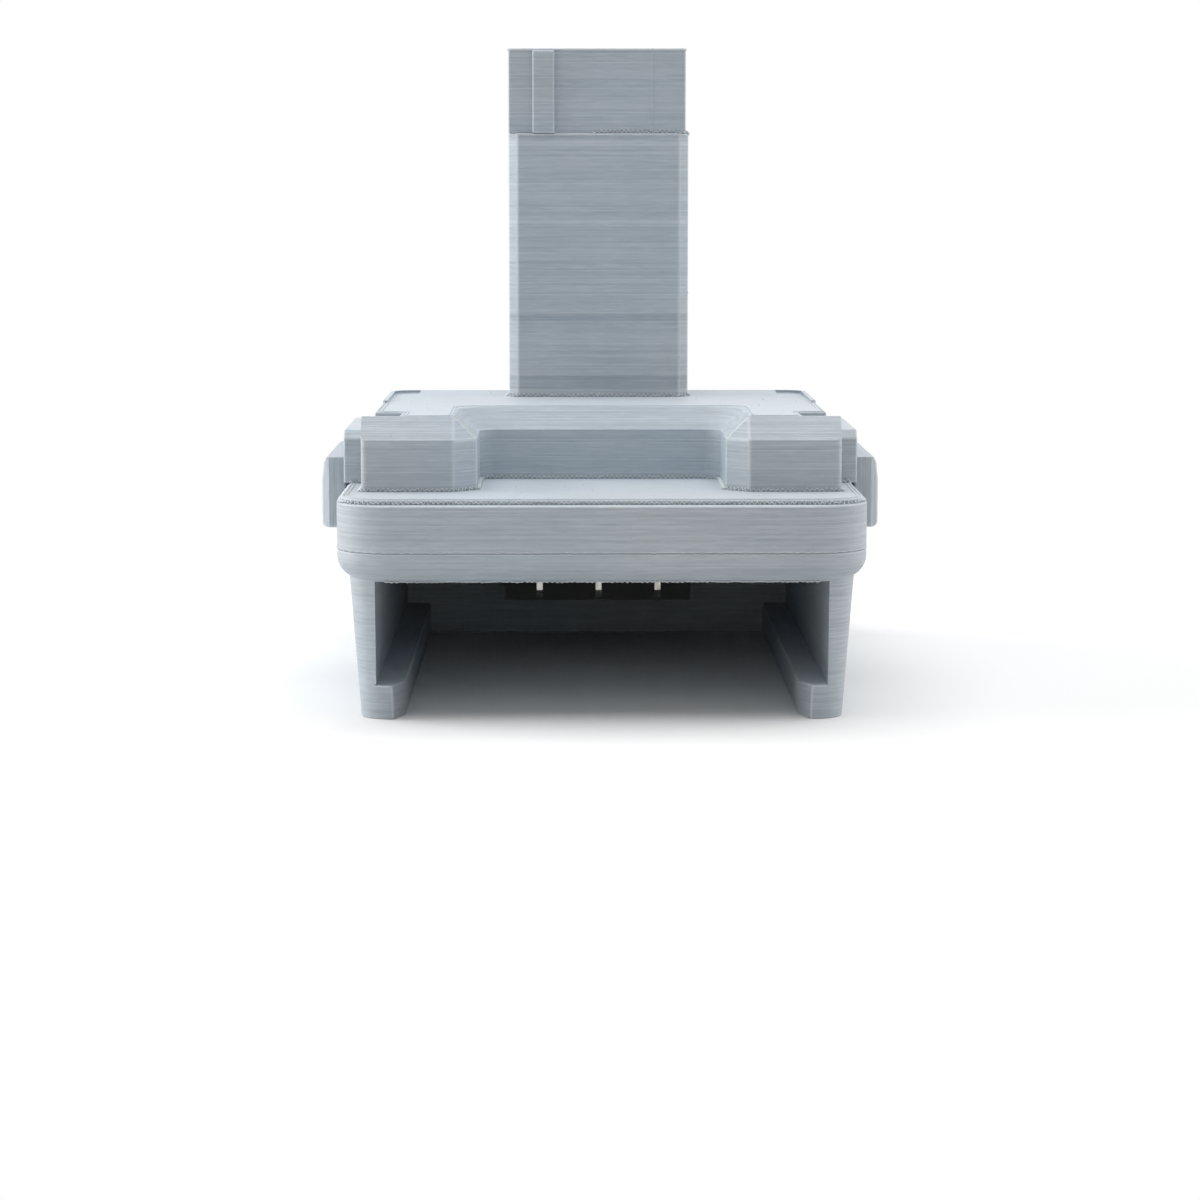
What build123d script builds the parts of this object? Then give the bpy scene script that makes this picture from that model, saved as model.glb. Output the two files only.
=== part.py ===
from build123d import *
import os
from math import atan, cos, degrees, pi, sin, sqrt

# A printed adapter that lets a tool with a stem battery socket run on a slide battery pack.
# Millimetres. X is to the right, Y runs from the pack's release button to the back, Z is up.
# The origin is under the middle of the adapter, on the plane that its side skirts stand on.

os.makedirs("parts", exist_ok=True)

overrun = 2.0
press_clearance = 0.03

# Flange between the two halves
flange_width = 64.4
flange_length = 92.0
flange_corner = 7.1
lower_flange_thickness = 3.6
lower_flange_round = 2.8
upper_flange_thickness = 5.7
plate_side_inset = 0.5
plate_front_inset = 1.9
plate_step = 0.6
plate_corner = 5.2

# Skirts and rails that take the battery pack
skirt_height = 17.0
skirt_half_width = 30.8
skirt_front_inset = 2.0
skirt_rear_inset = 6.0
skirt_corner = 5.0
skirt_draft = 1.4
skirt_root_rise = 1.4
channel_half_width = 27.4
channel_rear_wall = 6.0
rail_half_gap = 24.0
rail_height = 4.2
rail_lead_in_width = 1.8
rail_lead_in_length = 5.0
catch_half_width = 10.0
catch_depth_front = 8.0
catch_length = 6.0
catch_rise = 2.6

# Deck that fills the tool's battery foot
deck_height = 9.1
deck_half_width = 28.4
deck_lap = 8.1
deck_rear_corner = 3.0
deck_chamfer = 2.8
block_front = 12.2
block_half_width = 29.6
block_face_half_gap = 18.2
block_edge_round = 0.8
notch_front = 15.3
notch_rear = 22.0
notch_half_gap = 24.9
notch_depth = 4.2
recess_wall = 30.0
recess_corner = 2.2
rim_front = 39.5
rim_height = 0.4
rim_width = 0.7
rim_reach = 4.1
rear_deck_height = 6.1
rear_deck_half_width = 26.0
rear_deck_inset = 6.0
rear_deck_corner = 4.0

# Step blocks over the latches
step_front = 24.0
step_rear = 46.0
step_half_width = 32.5
step_drop = 2.4
step_chamfer = 1.0

# Post that stands up into the tool's handle
post_depth = 27.0
post_rear_inset = 7.3
post_half_width = 12.05
post_height = 35.2
post_edge = 1.2
post_wall = 2.45

# Contact head on the post
head_height = 11.2
head_front_setback = 0.4
head_right_setback = 0.4
head_plug_depth = 12.0
head_plug_clearance = 0.15
rib_centre = -7.35
rib_width = 2.95
rib_proud = 0.9
rib_top_drop = 0.3
contact_spacing = 11.0
contact_width = 4.0
contact_thickness = 0.5
contact_bow = 0.9
contact_bend = 0.8
contact_bow_rise = 3.8
contact_bow_length = 4.6
contact_pocket_radius = 2.5
contact_pocket_depth = 6.8
contact_recess_width = 5.2
contact_recess_depth = 2.2
contact_recess_floor_rise = 1.4
contact_slot_clearance = 0.15
contact_tail_inset = 6.0
contact_tail_length = 9.0
contact_screw_radius = 0.95
contact_screw_length = 5.0
contact_screw_head_radius = 1.8
contact_screw_head_height = 1.1
contact_screw_rise = 1.9
head_screw_radius = 1.25
head_screw_length = 8.0
head_screw_head_radius = 2.3
head_screw_drops = (3.4, 8.4)

# Hollow for the wires inside the deck
hollow_half_width = 13.0
hollow_front = 34.0
hollow_rear_wall = 4.0
roof_thickness = 2.4

# Latches, one each side
latch_travel = 3.0
latch_clearance = 0.3
latch_stop_gap = 0.2
pad_thickness = 3.2
pad_front = 27.0
pad_rear = 53.0
pad_height = 9.0
pad_lean_height = 3.1
pad_lean = 0.25
pad_top_chamfer = 0.45
pad_top_chamfer_height = 0.8
pad_bottom_chamfer = 0.4
pad_end_chamfer = 1.0
tongue_front = 34.0
tongue_height = 8.3
tongue_wall = 2.9
shoulder_length = 2.7
shoulder_thickness = 2.5
hook_length = 6.0
hook_inner_inset = 5.4
hook_outer_inset = 1.2
hook_rise = 3.8
hook_ramp_width = 1.8
hook_ramp_height = 2.2
latch_pocket_inner_half = 16.8
spring_room = 6.7
seat_radius = 2.4
seat_depth = 4.0
spring_radius = 1.75
spring_wire_radius = 0.25
spring_turns = 7
spring_end_gap = 0.15
pin_radius = 1.0
pin_chamfer = 0.25
pin_anchor = 2.8
pin_lap = 0.5

# Terminal block and its blades
block_ear_half_width = 19.0
block_body_half_width = 13.0
block_length = 13.5
block_rear_gap = 0.5
block_ear_thickness = 2.8
block_height = 10.5
block_neck_half_width = 12.5
block_neck_inset = 2.5
block_neck_rise = 3.0
window_clearance = 0.5
blade_spacing = 8.0
blade_thickness = 0.8
blade_height = 5.4
blade_drop = 3.0
blade_reach = 15.0
blade_root = 8.0
blade_nose = 1.2
tail_inset = 4.5
tail_length = 3.0
tail_rise = 3.6
ear_screw_half_spacing = 16.2
ear_screw_radius = 1.25
ear_screw_length = 5.6
ear_screw_head_radius = 2.1
ear_screw_head_height = 1.6

# Screws and inserts that hold the two halves together
front_screw_half_spacing = 22.5
front_screw_depth = 20.0
rear_screw_half_spacing = 23.0
rear_screw_inset = 12.0
screw_radius = 1.5
screw_clearance = 0.2
screw_length = 8.0
screw_head_radius = 2.75
screw_head_height = 2.0
socket_radius = 1.25
screw_slot_width = 0.5
screw_slot_depth_share = 0.5
socket_depth_share = 0.6
insert_radius = 2.1
insert_length = 5.0
insert_groove = 0.25
insert_groove_length = 1.6
insert_bore_length = 9.0

# Wires and sleeves
wire_radius = 1.3
sleeve_gap = 0.85
sleeve_wall = 0.3
sleeve_overlap = 2.6
wire_tail_gap = 0.05
wire_lead = 4.4
wire_lean = 3.0
wire_rise_shares = (0.28, 0.52, 0.74)
wire_lean_shares = (0.5, 1.0, 0.55)
wire_drift_shares = (0.25, 0.6, 0.9)
wire_bend_share = 0.42

# Heights and depths that follow from the sizes above
seam_height = skirt_height + lower_flange_thickness
flange_top = seam_height + upper_flange_thickness
plate_top = flange_top + plate_step
deck_top = plate_top + deck_height
step_top = deck_top - step_drop
rear_deck_top = plate_top + rear_deck_height
post_top = deck_top + post_height
hollow_top = rear_deck_top - roof_thickness
rear_deck_end = flange_length - rear_deck_inset
post_rear = rear_deck_end - post_rear_inset
post_front = post_rear - post_depth
deck_rear = post_front + deck_lap
rim_half_gap = deck_half_width - rim_reach
hollow_rear = rear_deck_end - hollow_rear_wall
channel_rear = rear_deck_end - channel_rear_wall
block_rear = channel_rear - block_rear_gap
block_depth_front = block_rear - block_length
rear_screw_depth = rear_deck_end - rear_screw_inset


def back(depth):
    """Gives the Y of a plane that lies this far behind the flange's front."""
    return depth - flange_length / 2


def mid(front, rear):
    """Gives the Y half way between two depths."""
    return back((front + rear) / 2)


def rectangle_between(left, right, front, rear, mode=Mode.ADD):
    """Draws a rectangle from one X to another and from one depth to another."""
    with Locations(((left + right) / 2, mid(front, rear))):
        Rectangle(abs(right - left), rear - front, mode=mode)


def rectangle_each_side(inner, outer, front, rear):
    """Draws a rectangle on the right and its like on the left."""
    rectangle_between(inner, outer, front, rear)
    rectangle_between(-outer, -inner, front, rear)


def save(part, name):
    """Labels a finished piece and writes it under its own name."""
    part.label = name
    export_step(part, f"parts/{name}.step")


sides = {"left": -1, "right": 1}
screw_places = [
    (side * spacing, back(depth))
    for spacing, depth in (
        (front_screw_half_spacing, front_screw_depth),
        (rear_screw_half_spacing, rear_screw_depth),
    )
    for side in sides.values()
]
block_middle = mid(block_depth_front, block_rear)
ear_screw_places = [(side * ear_screw_half_spacing, block_middle) for side in sides.values()]

# Receiver, the lower half: flange, side skirts and rails
with BuildPart() as receiver:
    with BuildSketch(Plane.XY.offset(skirt_height)):
        RectangleRounded(flange_width, flange_length, flange_corner)
    extrude(amount=lower_flange_thickness)
    fillet(receiver.faces().sort_by(Axis.Z)[0].outer_wire().edges(), lower_flange_round)
    skirt_root = skirt_height + skirt_root_rise
    with BuildSketch(Plane.XY.offset(skirt_root)):
        with Locations((0, mid(skirt_front_inset, flange_length - skirt_rear_inset))):
            RectangleRounded(
                2 * skirt_half_width, flange_length - skirt_front_inset - skirt_rear_inset, skirt_corner
            )
    extrude(amount=-skirt_root, taper=degrees(atan(skirt_draft / skirt_root)))
    with BuildSketch(Plane.XY.offset(rail_height)):
        rectangle_between(-channel_half_width, channel_half_width, -overrun, channel_rear)
    extrude(amount=skirt_height - rail_height, mode=Mode.SUBTRACT)
    with BuildSketch(Plane.XY):
        rectangle_between(-rail_half_gap, rail_half_gap, -overrun, channel_rear)
        mouth = rail_half_gap + rail_lead_in_width
        lead_in_rear = skirt_front_inset + rail_lead_in_length
        with BuildLine():
            Polyline(
                (-mouth, back(-overrun)),
                (mouth, back(-overrun)),
                (mouth, back(skirt_front_inset)),
                (rail_half_gap, back(lead_in_rear)),
                (-rail_half_gap, back(lead_in_rear)),
                (-mouth, back(skirt_front_inset)),
                close=True,
            )
        make_face()
    extrude(amount=rail_height, mode=Mode.SUBTRACT)
    # Window for the terminal block's neck
    neck_front = block_depth_front + block_neck_inset
    neck_rear = block_rear - block_neck_inset
    with BuildSketch(Plane.XY.offset(skirt_height)):
        window_half_width = block_neck_half_width + window_clearance
        rectangle_between(
            -window_half_width,
            window_half_width,
            neck_front - window_clearance,
            neck_rear + window_clearance,
        )
    extrude(amount=lower_flange_thickness, mode=Mode.SUBTRACT)
    # Pocket that the pack's catch rises into
    with BuildSketch(Plane.XY.offset(skirt_height)):
        rectangle_between(
            -catch_half_width, catch_half_width, catch_depth_front, catch_depth_front + catch_length
        )
    extrude(amount=catch_rise, mode=Mode.SUBTRACT)
    # Counterbored screw holes, and pilot holes for the terminal block
    with BuildSketch(Plane.XY.offset(skirt_height)):
        with Locations(*screw_places):
            Circle(screw_head_radius + screw_clearance)
    extrude(amount=screw_head_height, mode=Mode.SUBTRACT)
    with BuildSketch(Plane.XY.offset(skirt_height)):
        with Locations(*screw_places):
            Circle(screw_radius + screw_clearance)
    extrude(amount=lower_flange_thickness, mode=Mode.SUBTRACT)
    with BuildSketch(Plane.XY.offset(skirt_height)):
        with Locations(*ear_screw_places):
            Circle(ear_screw_radius + press_clearance)
    extrude(amount=ear_screw_length - block_ear_thickness + press_clearance, mode=Mode.SUBTRACT)
save(receiver.part, "receiver")

# Outline of the deck, seen from above: its right half, from the recess round to the rear
flank = block_face_half_gap - deck_chamfer
block_centre = (block_face_half_gap + block_half_width) / 2
deck_outline = [
    (0, back(recess_wall)),
    (flank, back(recess_wall)),
    (flank, back(block_front + deck_chamfer)),
    (block_face_half_gap, back(block_front)),
    (block_half_width, back(block_front)),
    (block_half_width, back(notch_rear)),
    (deck_half_width, back(notch_rear)),
    (deck_half_width, back(deck_rear)),
    (0, back(deck_rear)),
]

# Where a latch runs, and the middle of its spring
shoulder_front = tongue_front - shoulder_length
shoulder_rear = pad_rear + shoulder_length
latch_floor = seam_height + latch_clearance
tongue_top = latch_floor + tongue_height
shoulder_inner = latch_pocket_inner_half + spring_room
shoulder_outer = shoulder_inner + shoulder_thickness + latch_stop_gap
pad_floor = shoulder_outer + tongue_wall
pad_inner = pad_floor + latch_travel + latch_clearance
pad_half_width = pad_inner + pad_thickness
hook_inner_half = pad_inner - hook_inner_inset
hook_outer_half = pad_inner - hook_outer_inset
spring_y = mid(shoulder_front, shoulder_rear)
spring_z = latch_floor + tongue_height / 2
hook_front = pad_rear - hook_length
hook_top = tongue_top + hook_rise

# Tool-side body, the upper half: flange, deck, step blocks and post
with BuildPart() as tool_side_body:
    with BuildSketch(Plane.XY.offset(plate_top)):
        with BuildLine():
            Polyline(*deck_outline)
            mirror(about=Plane.YZ)
        make_face()
    extrude(amount=deck_height)
    recess_line = back(recess_wall)
    recess_corners = tool_side_body.edges().filter_by(Axis.Z).filter_by_position(
        Axis.Y, recess_line - press_clearance, recess_line + press_clearance
    )
    fillet(recess_corners, recess_corner)
    rear_corners = tool_side_body.edges().filter_by(Axis.Z).group_by(Axis.Y)[-1]
    fillet(rear_corners, deck_rear_corner)
    # The deck's front edges slope at 45 degrees, round the recess too
    front_top_edges = [
        edge
        for edge in tool_side_body.faces().sort_by(Axis.Z)[-1].outer_wire().edges()
        if edge.center().Y < recess_line + press_clearance
        and abs(edge.center().X) < block_centre + press_clearance
    ]
    chamfer(front_top_edges, deck_chamfer)
    front_corners = tool_side_body.edges().filter_by(Axis.Z).filter_by_position(
        Axis.Y, back(block_front) - press_clearance, back(block_front) + press_clearance
    )
    fillet(front_corners.group_by(Axis.X)[0] + front_corners.group_by(Axis.X)[-1], block_edge_round)
    with BuildSketch(Plane.XY.offset(deck_top)):
        rectangle_each_side(notch_half_gap, block_half_width, notch_front, notch_rear)
    extrude(amount=-notch_depth, mode=Mode.SUBTRACT)
    # Low rim round the deck's rear corners, and the shallow ramp between its ends
    with BuildSketch(Plane.XY.offset(deck_top)):
        with Locations((0, mid(recess_wall, deck_rear))):
            RectangleRounded(2 * deck_half_width, deck_rear - recess_wall, deck_rear_corner)
            RectangleRounded(
                2 * (deck_half_width - rim_width),
                deck_rear - recess_wall - 2 * rim_width,
                deck_rear_corner - rim_width,
                mode=Mode.SUBTRACT,
            )
        rectangle_between(
            -deck_half_width - overrun,
            deck_half_width + overrun,
            recess_wall - overrun,
            rim_front,
            Mode.SUBTRACT,
        )
        rectangle_between(-rim_half_gap, rim_half_gap, rim_front, deck_rear + overrun, Mode.SUBTRACT)
    extrude(amount=rim_height)
    with BuildSketch(Plane.YZ.offset(-rim_half_gap)):
        with BuildLine():
            Polyline(
                (back(post_front), deck_top),
                (back(deck_rear), deck_top),
                (back(deck_rear), deck_top + rim_height),
                close=True,
            )
        make_face()
    extrude(amount=2 * rim_half_gap)
    # Step blocks over the latches
    for side in sides.values():
        with BuildSketch(Plane.YZ.offset(side * deck_half_width)):
            with BuildLine():
                Polyline(
                    (back(step_front), plate_top),
                    (back(step_front), step_top - step_chamfer),
                    (back(step_front + step_chamfer), step_top),
                    (back(step_rear), step_top),
                    (back(step_rear), plate_top),
                    close=True,
                )
            make_face()
        extrude(amount=side * (step_half_width - deck_half_width))
    # Lower deck behind, round the post's foot
    with BuildSketch(Plane.XY.offset(plate_top)):
        with Locations((0, mid(hollow_front, rear_deck_end))):
            RectangleRounded(2 * rear_deck_half_width, rear_deck_end - hollow_front, rear_deck_corner)
    extrude(amount=rear_deck_height)
    # Plate under the deck, and the flange under the plate
    with BuildSketch(Plane.XY.offset(flange_top)):
        RectangleRounded(
            flange_width - 2 * plate_side_inset, flange_length - 2 * plate_front_inset, plate_corner
        )
    extrude(amount=plate_step)
    with BuildSketch(Plane.XY.offset(seam_height)):
        RectangleRounded(flange_width, flange_length, flange_corner)
    extrude(amount=upper_flange_thickness)
    # Post, with its upright edges cut off
    with BuildSketch(Plane.XY.offset(plate_top)) as post_outline:
        rectangle_between(-post_half_width, post_half_width, post_front, post_rear)
        chamfer(post_outline.vertices(), post_edge)
    extrude(amount=post_top - plate_top)
    # Hollow for the wires, and the bore up the post
    with BuildSketch(Plane.XY.offset(seam_height)):
        rectangle_between(-hollow_half_width, hollow_half_width, hollow_front, hollow_rear)
    extrude(amount=hollow_top - seam_height, mode=Mode.SUBTRACT)
    bore_half_width = post_half_width - post_wall
    with BuildSketch(Plane.XY.offset(seam_height)):
        rectangle_between(-bore_half_width, bore_half_width, post_front + post_wall, post_rear - post_wall)
    extrude(amount=post_top - seam_height, mode=Mode.SUBTRACT)
    # Latch ways, open below until the receiver closes them
    with BuildSketch(Plane.XY.offset(seam_height)):
        rectangle_each_side(
            pad_floor, step_half_width + overrun, pad_front - latch_clearance, pad_rear + latch_clearance
        )
    extrude(amount=pad_height + 2 * latch_clearance, mode=Mode.SUBTRACT)
    with BuildSketch(Plane.XY.offset(seam_height)):
        rectangle_each_side(
            shoulder_outer, pad_floor, tongue_front - latch_clearance, pad_rear + latch_clearance
        )
        rectangle_each_side(
            latch_pocket_inner_half,
            shoulder_outer,
            shoulder_front - latch_clearance,
            shoulder_rear + latch_clearance,
        )
    extrude(amount=tongue_height + 2 * latch_clearance, mode=Mode.SUBTRACT)
    with BuildSketch(Plane.XY.offset(seam_height)):
        rectangle_each_side(
            hook_inner_half - latch_travel - latch_clearance,
            step_half_width,
            hook_front - latch_clearance,
            pad_rear + latch_clearance,
        )
    extrude(amount=hook_top + latch_clearance - seam_height, mode=Mode.SUBTRACT)
    # Holes that grip the latches' guide pins
    for side in sides.values():
        with BuildSketch(Plane.YZ.offset(side * latch_pocket_inner_half)):
            with Locations((spring_y, spring_z)):
                Circle(pin_radius + press_clearance)
        extrude(amount=-side * pin_anchor, mode=Mode.SUBTRACT)
    # Bores for the threaded inserts
    with BuildSketch(Plane.XY.offset(seam_height)):
        with Locations(*screw_places):
            Circle(insert_radius + press_clearance)
    extrude(amount=insert_bore_length, mode=Mode.SUBTRACT)
    # Countersunk holes in the post's rear wall for the head's screws
    with BuildSketch(Plane.XZ.offset(-back(post_rear))):
        with Locations(*[(0, post_top - drop) for drop in head_screw_drops]):
            Circle(head_screw_radius + press_clearance)
    extrude(amount=post_wall, mode=Mode.SUBTRACT)
    with BuildSketch(Plane.XZ.offset(-back(post_rear))):
        with Locations(*[(0, post_top - drop) for drop in head_screw_drops]):
            Circle(head_screw_head_radius + press_clearance)
    extrude(amount=head_screw_head_radius - head_screw_radius, taper=45, mode=Mode.SUBTRACT)
save(tool_side_body.part, "tool_side_body")

# Contact head, which plugs into the post's top
head_front = post_front + head_front_setback
contact_floor = post_rear - contact_recess_depth
contact_foot = post_top + contact_recess_floor_rise
tail_depth = post_rear - contact_tail_inset
contact_middle = contact_floor + contact_thickness / 2
jog_height = contact_foot + contact_thickness / 2
contact_screw_z = contact_foot + contact_screw_rise
with BuildPart() as contact_head:
    with BuildSketch(Plane.XY.offset(post_top)):
        rectangle_between(-post_half_width, post_half_width - head_right_setback, head_front, post_rear)
    extrude(amount=head_height)
    with BuildSketch(Plane.XY.offset(post_top)):
        rectangle_between(
            rib_centre - rib_width / 2, rib_centre + rib_width / 2, head_front - rib_proud, head_front
        )
    extrude(amount=head_height - rib_top_drop)
    plug_inset = post_wall + head_plug_clearance
    with BuildSketch(Plane.XY.offset(post_top)):
        rectangle_between(
            plug_inset - post_half_width,
            post_half_width - plug_inset,
            post_front + plug_inset,
            post_rear - plug_inset,
        )
    extrude(amount=-head_plug_depth)
    # Recesses for the contacts, open at the back and the top
    with BuildSketch(Plane.XY.offset(contact_foot)):
        for side in sides.values():
            centre = side * contact_spacing / 2
            rectangle_between(
                centre - contact_recess_width / 2,
                centre + contact_recess_width / 2,
                contact_floor,
                post_rear + overrun,
            )
    extrude(amount=head_height, mode=Mode.SUBTRACT)
    # Slots for the contacts' tails, and pockets for their solder joints
    slot_width = contact_width + 2 * contact_slot_clearance
    slot_depth = contact_thickness + 2 * contact_slot_clearance
    with BuildSketch(Plane.XY.offset(post_top - head_plug_depth)):
        for side in sides.values():
            with Locations((side * contact_spacing / 2, back(tail_depth))):
                Rectangle(slot_width, slot_depth)
    slot_top = jog_height + slot_depth / 2
    extrude(amount=slot_top - post_top + head_plug_depth, mode=Mode.SUBTRACT)
    with BuildSketch(Plane.XY.offset(slot_top)):
        for side in sides.values():
            centre = side * contact_spacing / 2
            rectangle_between(
                centre - slot_width / 2,
                centre + slot_width / 2,
                tail_depth - slot_depth / 2,
                contact_floor + contact_thickness,
            )
    extrude(amount=-slot_depth, mode=Mode.SUBTRACT)
    # Room for the bend where each contact turns up along its recess
    with BuildSketch(Plane.XY.offset(slot_top)):
        for side in sides.values():
            centre = side * contact_spacing / 2
            rectangle_between(
                centre - slot_width / 2,
                centre + slot_width / 2,
                contact_floor - contact_bend,
                contact_floor + contact_thickness,
            )
    extrude(amount=contact_bend, mode=Mode.SUBTRACT)
    with BuildSketch(Plane.XY.offset(post_top - head_plug_depth)):
        with Locations(*[(side * contact_spacing / 2, back(tail_depth)) for side in sides.values()]):
            Circle(contact_pocket_radius)
    extrude(amount=contact_pocket_depth, mode=Mode.SUBTRACT)
    # Pilot holes for the contacts' screws and for the head's own
    with BuildSketch(Plane.XZ.offset(-back(contact_floor))):
        with Locations(*[(side * contact_spacing / 2, contact_screw_z) for side in sides.values()]):
            Circle(contact_screw_radius + press_clearance)
    extrude(amount=contact_screw_length, mode=Mode.SUBTRACT)
    with BuildSketch(Plane.XZ.offset(-back(post_rear - plug_inset))):
        with Locations(*[(0, post_top - drop) for drop in head_screw_drops]):
            Circle(head_screw_radius + press_clearance)
    extrude(amount=head_screw_length, mode=Mode.SUBTRACT)
save(contact_head.part, "contact_head")

# Contact strips of the head, bent from sheet, one for each pole
contact_sides = {"positive": -1, "negative": 1}
tail_bottom = post_top - contact_tail_length
bow_foot = contact_foot + contact_bow_rise
bow_top = bow_foot + contact_bow_length
for pole, side in contact_sides.items():
    with BuildPart() as contact:
        with BuildSketch(Plane.YZ.offset(side * contact_spacing / 2)):
            with BuildLine() as bend:
                FilletPolyline(
                    (back(tail_depth), tail_bottom),
                    (back(tail_depth), jog_height),
                    (back(contact_middle), jog_height),
                    (back(contact_middle), bow_foot),
                    radius=contact_bend,
                )
                ThreePointArc(
                    (back(contact_middle), bow_foot),
                    (back(contact_middle + contact_bow), (bow_foot + bow_top) / 2),
                    (back(contact_middle), bow_top),
                )
            trace(bend.line, line_width=contact_thickness)
        extrude(amount=contact_width / 2, both=True)
        with BuildSketch(Plane.XZ.offset(-back(contact_floor + contact_thickness))):
            with Locations((side * contact_spacing / 2, contact_screw_z)):
                Circle(contact_screw_radius + press_clearance)
        extrude(amount=contact_thickness, mode=Mode.SUBTRACT)
    save(contact.part, f"contact_{pole}")

# Screws that hold the contacts and the head
with BuildPart() as contact_screws:
    places = [(side * contact_spacing / 2, contact_screw_z) for side in sides.values()]
    with BuildSketch(Plane.XZ.offset(-back(contact_floor + contact_thickness))):
        with Locations(*places):
            Circle(contact_screw_radius)
    extrude(amount=contact_screw_length)
    with BuildSketch(Plane.XZ.offset(-back(contact_floor + contact_thickness))):
        with Locations(*places):
            Circle(contact_screw_head_radius)
    extrude(amount=-contact_screw_head_height)
    slot_plane = Plane.XZ.offset(-back(contact_floor + contact_thickness + contact_screw_head_height))
    with BuildSketch(slot_plane):
        with Locations(*places):
            Rectangle(2 * contact_screw_head_radius, screw_slot_width)
    extrude(amount=contact_screw_head_height * screw_slot_depth_share, mode=Mode.SUBTRACT)
save(contact_screws.part, "contact_screws")

with BuildPart() as head_screws:
    places = [(0, post_top - drop) for drop in head_screw_drops]
    with BuildSketch(Plane.XZ.offset(-back(post_rear))):
        with Locations(*places):
            Circle(head_screw_radius)
    extrude(amount=head_screw_length)
    with BuildSketch(Plane.XZ.offset(-back(post_rear))):
        with Locations(*places):
            Circle(head_screw_head_radius)
    extrude(amount=head_screw_head_radius - head_screw_radius, taper=45)
    with BuildSketch(Plane.XZ.offset(-back(post_rear))):
        with Locations(*places):
            Rectangle(head_screw_head_radius, screw_slot_width)
            Rectangle(screw_slot_width, head_screw_head_radius)
    extrude(amount=head_screw_radius, mode=Mode.SUBTRACT)
save(head_screws.part, "head_screws")

# Latches: finger pad, tongue with its shoulders, and hook, one printed piece each side
for name, side in sides.items():
    with BuildPart() as latch:
        with BuildSketch(Plane.XZ.offset(-back(pad_rear))):
            with BuildLine():
                Polyline(
                    (side * pad_inner, latch_floor),
                    (side * (pad_half_width - pad_bottom_chamfer), latch_floor),
                    (side * pad_half_width, latch_floor + pad_bottom_chamfer),
                    (side * pad_half_width, latch_floor + pad_height - pad_lean_height),
                    (side * (pad_half_width - pad_lean), latch_floor + pad_height - pad_top_chamfer_height),
                    (side * (pad_half_width - pad_lean - pad_top_chamfer), latch_floor + pad_height),
                    (side * pad_inner, latch_floor + pad_height),
                    close=True,
                )
            make_face()
        extrude(amount=pad_rear - pad_front)
        with BuildSketch(Plane.XY.offset(latch_floor)):
            with BuildLine():
                Polyline(
                    (side * pad_half_width, back(pad_front)),
                    (side * (pad_half_width - pad_end_chamfer), back(pad_front)),
                    (side * pad_half_width, back(pad_front + pad_end_chamfer)),
                    close=True,
                )
            make_face()
            with BuildLine():
                Polyline(
                    (side * pad_half_width, back(pad_rear)),
                    (side * (pad_half_width - pad_end_chamfer), back(pad_rear)),
                    (side * pad_half_width, back(pad_rear - pad_end_chamfer)),
                    close=True,
                )
            make_face()
        extrude(amount=pad_height, mode=Mode.SUBTRACT)
        with BuildSketch(Plane.XY.offset(latch_floor)):
            shoulder_face = shoulder_inner + shoulder_thickness
            rectangle_between(side * shoulder_face, side * pad_inner, tongue_front, pad_rear)
            rectangle_between(side * shoulder_inner, side * shoulder_face, shoulder_front, shoulder_rear)
        extrude(amount=tongue_height)
        with BuildSketch(Plane.XZ.offset(-back(pad_rear))):
            with BuildLine():
                Polyline(
                    (side * hook_inner_half, tongue_top),
                    (side * hook_outer_half, tongue_top),
                    (side * hook_outer_half, hook_top - hook_ramp_height),
                    (side * (hook_outer_half - hook_ramp_width), hook_top),
                    (side * hook_inner_half, hook_top),
                    close=True,
                )
            make_face()
        extrude(amount=hook_length)
        with BuildSketch(Plane.YZ.offset(side * shoulder_inner)):
            with Locations((spring_y, spring_z)):
                Circle(seat_radius)
        extrude(amount=side * seat_depth, mode=Mode.SUBTRACT)
    save(latch.part, f"latch_{name}")


def coil_point(angle, start, pitch):
    """Gives a point of a coil that winds round X, and its direction there."""
    point = Vector(
        start + pitch * angle / (2 * pi),
        spring_y + spring_radius * cos(angle),
        spring_z + spring_radius * sin(angle),
    )
    direction = Vector(pitch / (2 * pi), -spring_radius * sin(angle), spring_radius * cos(angle))
    return point, direction.normalized()


def draw_biarc(first, first_direction, last, last_direction):
    """Draws two arcs that meet smoothly, from one point and direction to another."""
    span = last - first
    total = first_direction + last_direction
    twice = 2 * (first_direction.dot(last_direction) - 1)
    half = span.dot(total)
    reach = (half - sqrt(half * half - twice * span.dot(span))) / twice
    near = first + first_direction * reach
    far = last - last_direction * reach
    joint = (near + far) * 0.5
    TangentArc(first, joint, tangent=first_direction)
    TangentArc(joint, last, tangent=(far - near).normalized())


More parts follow.
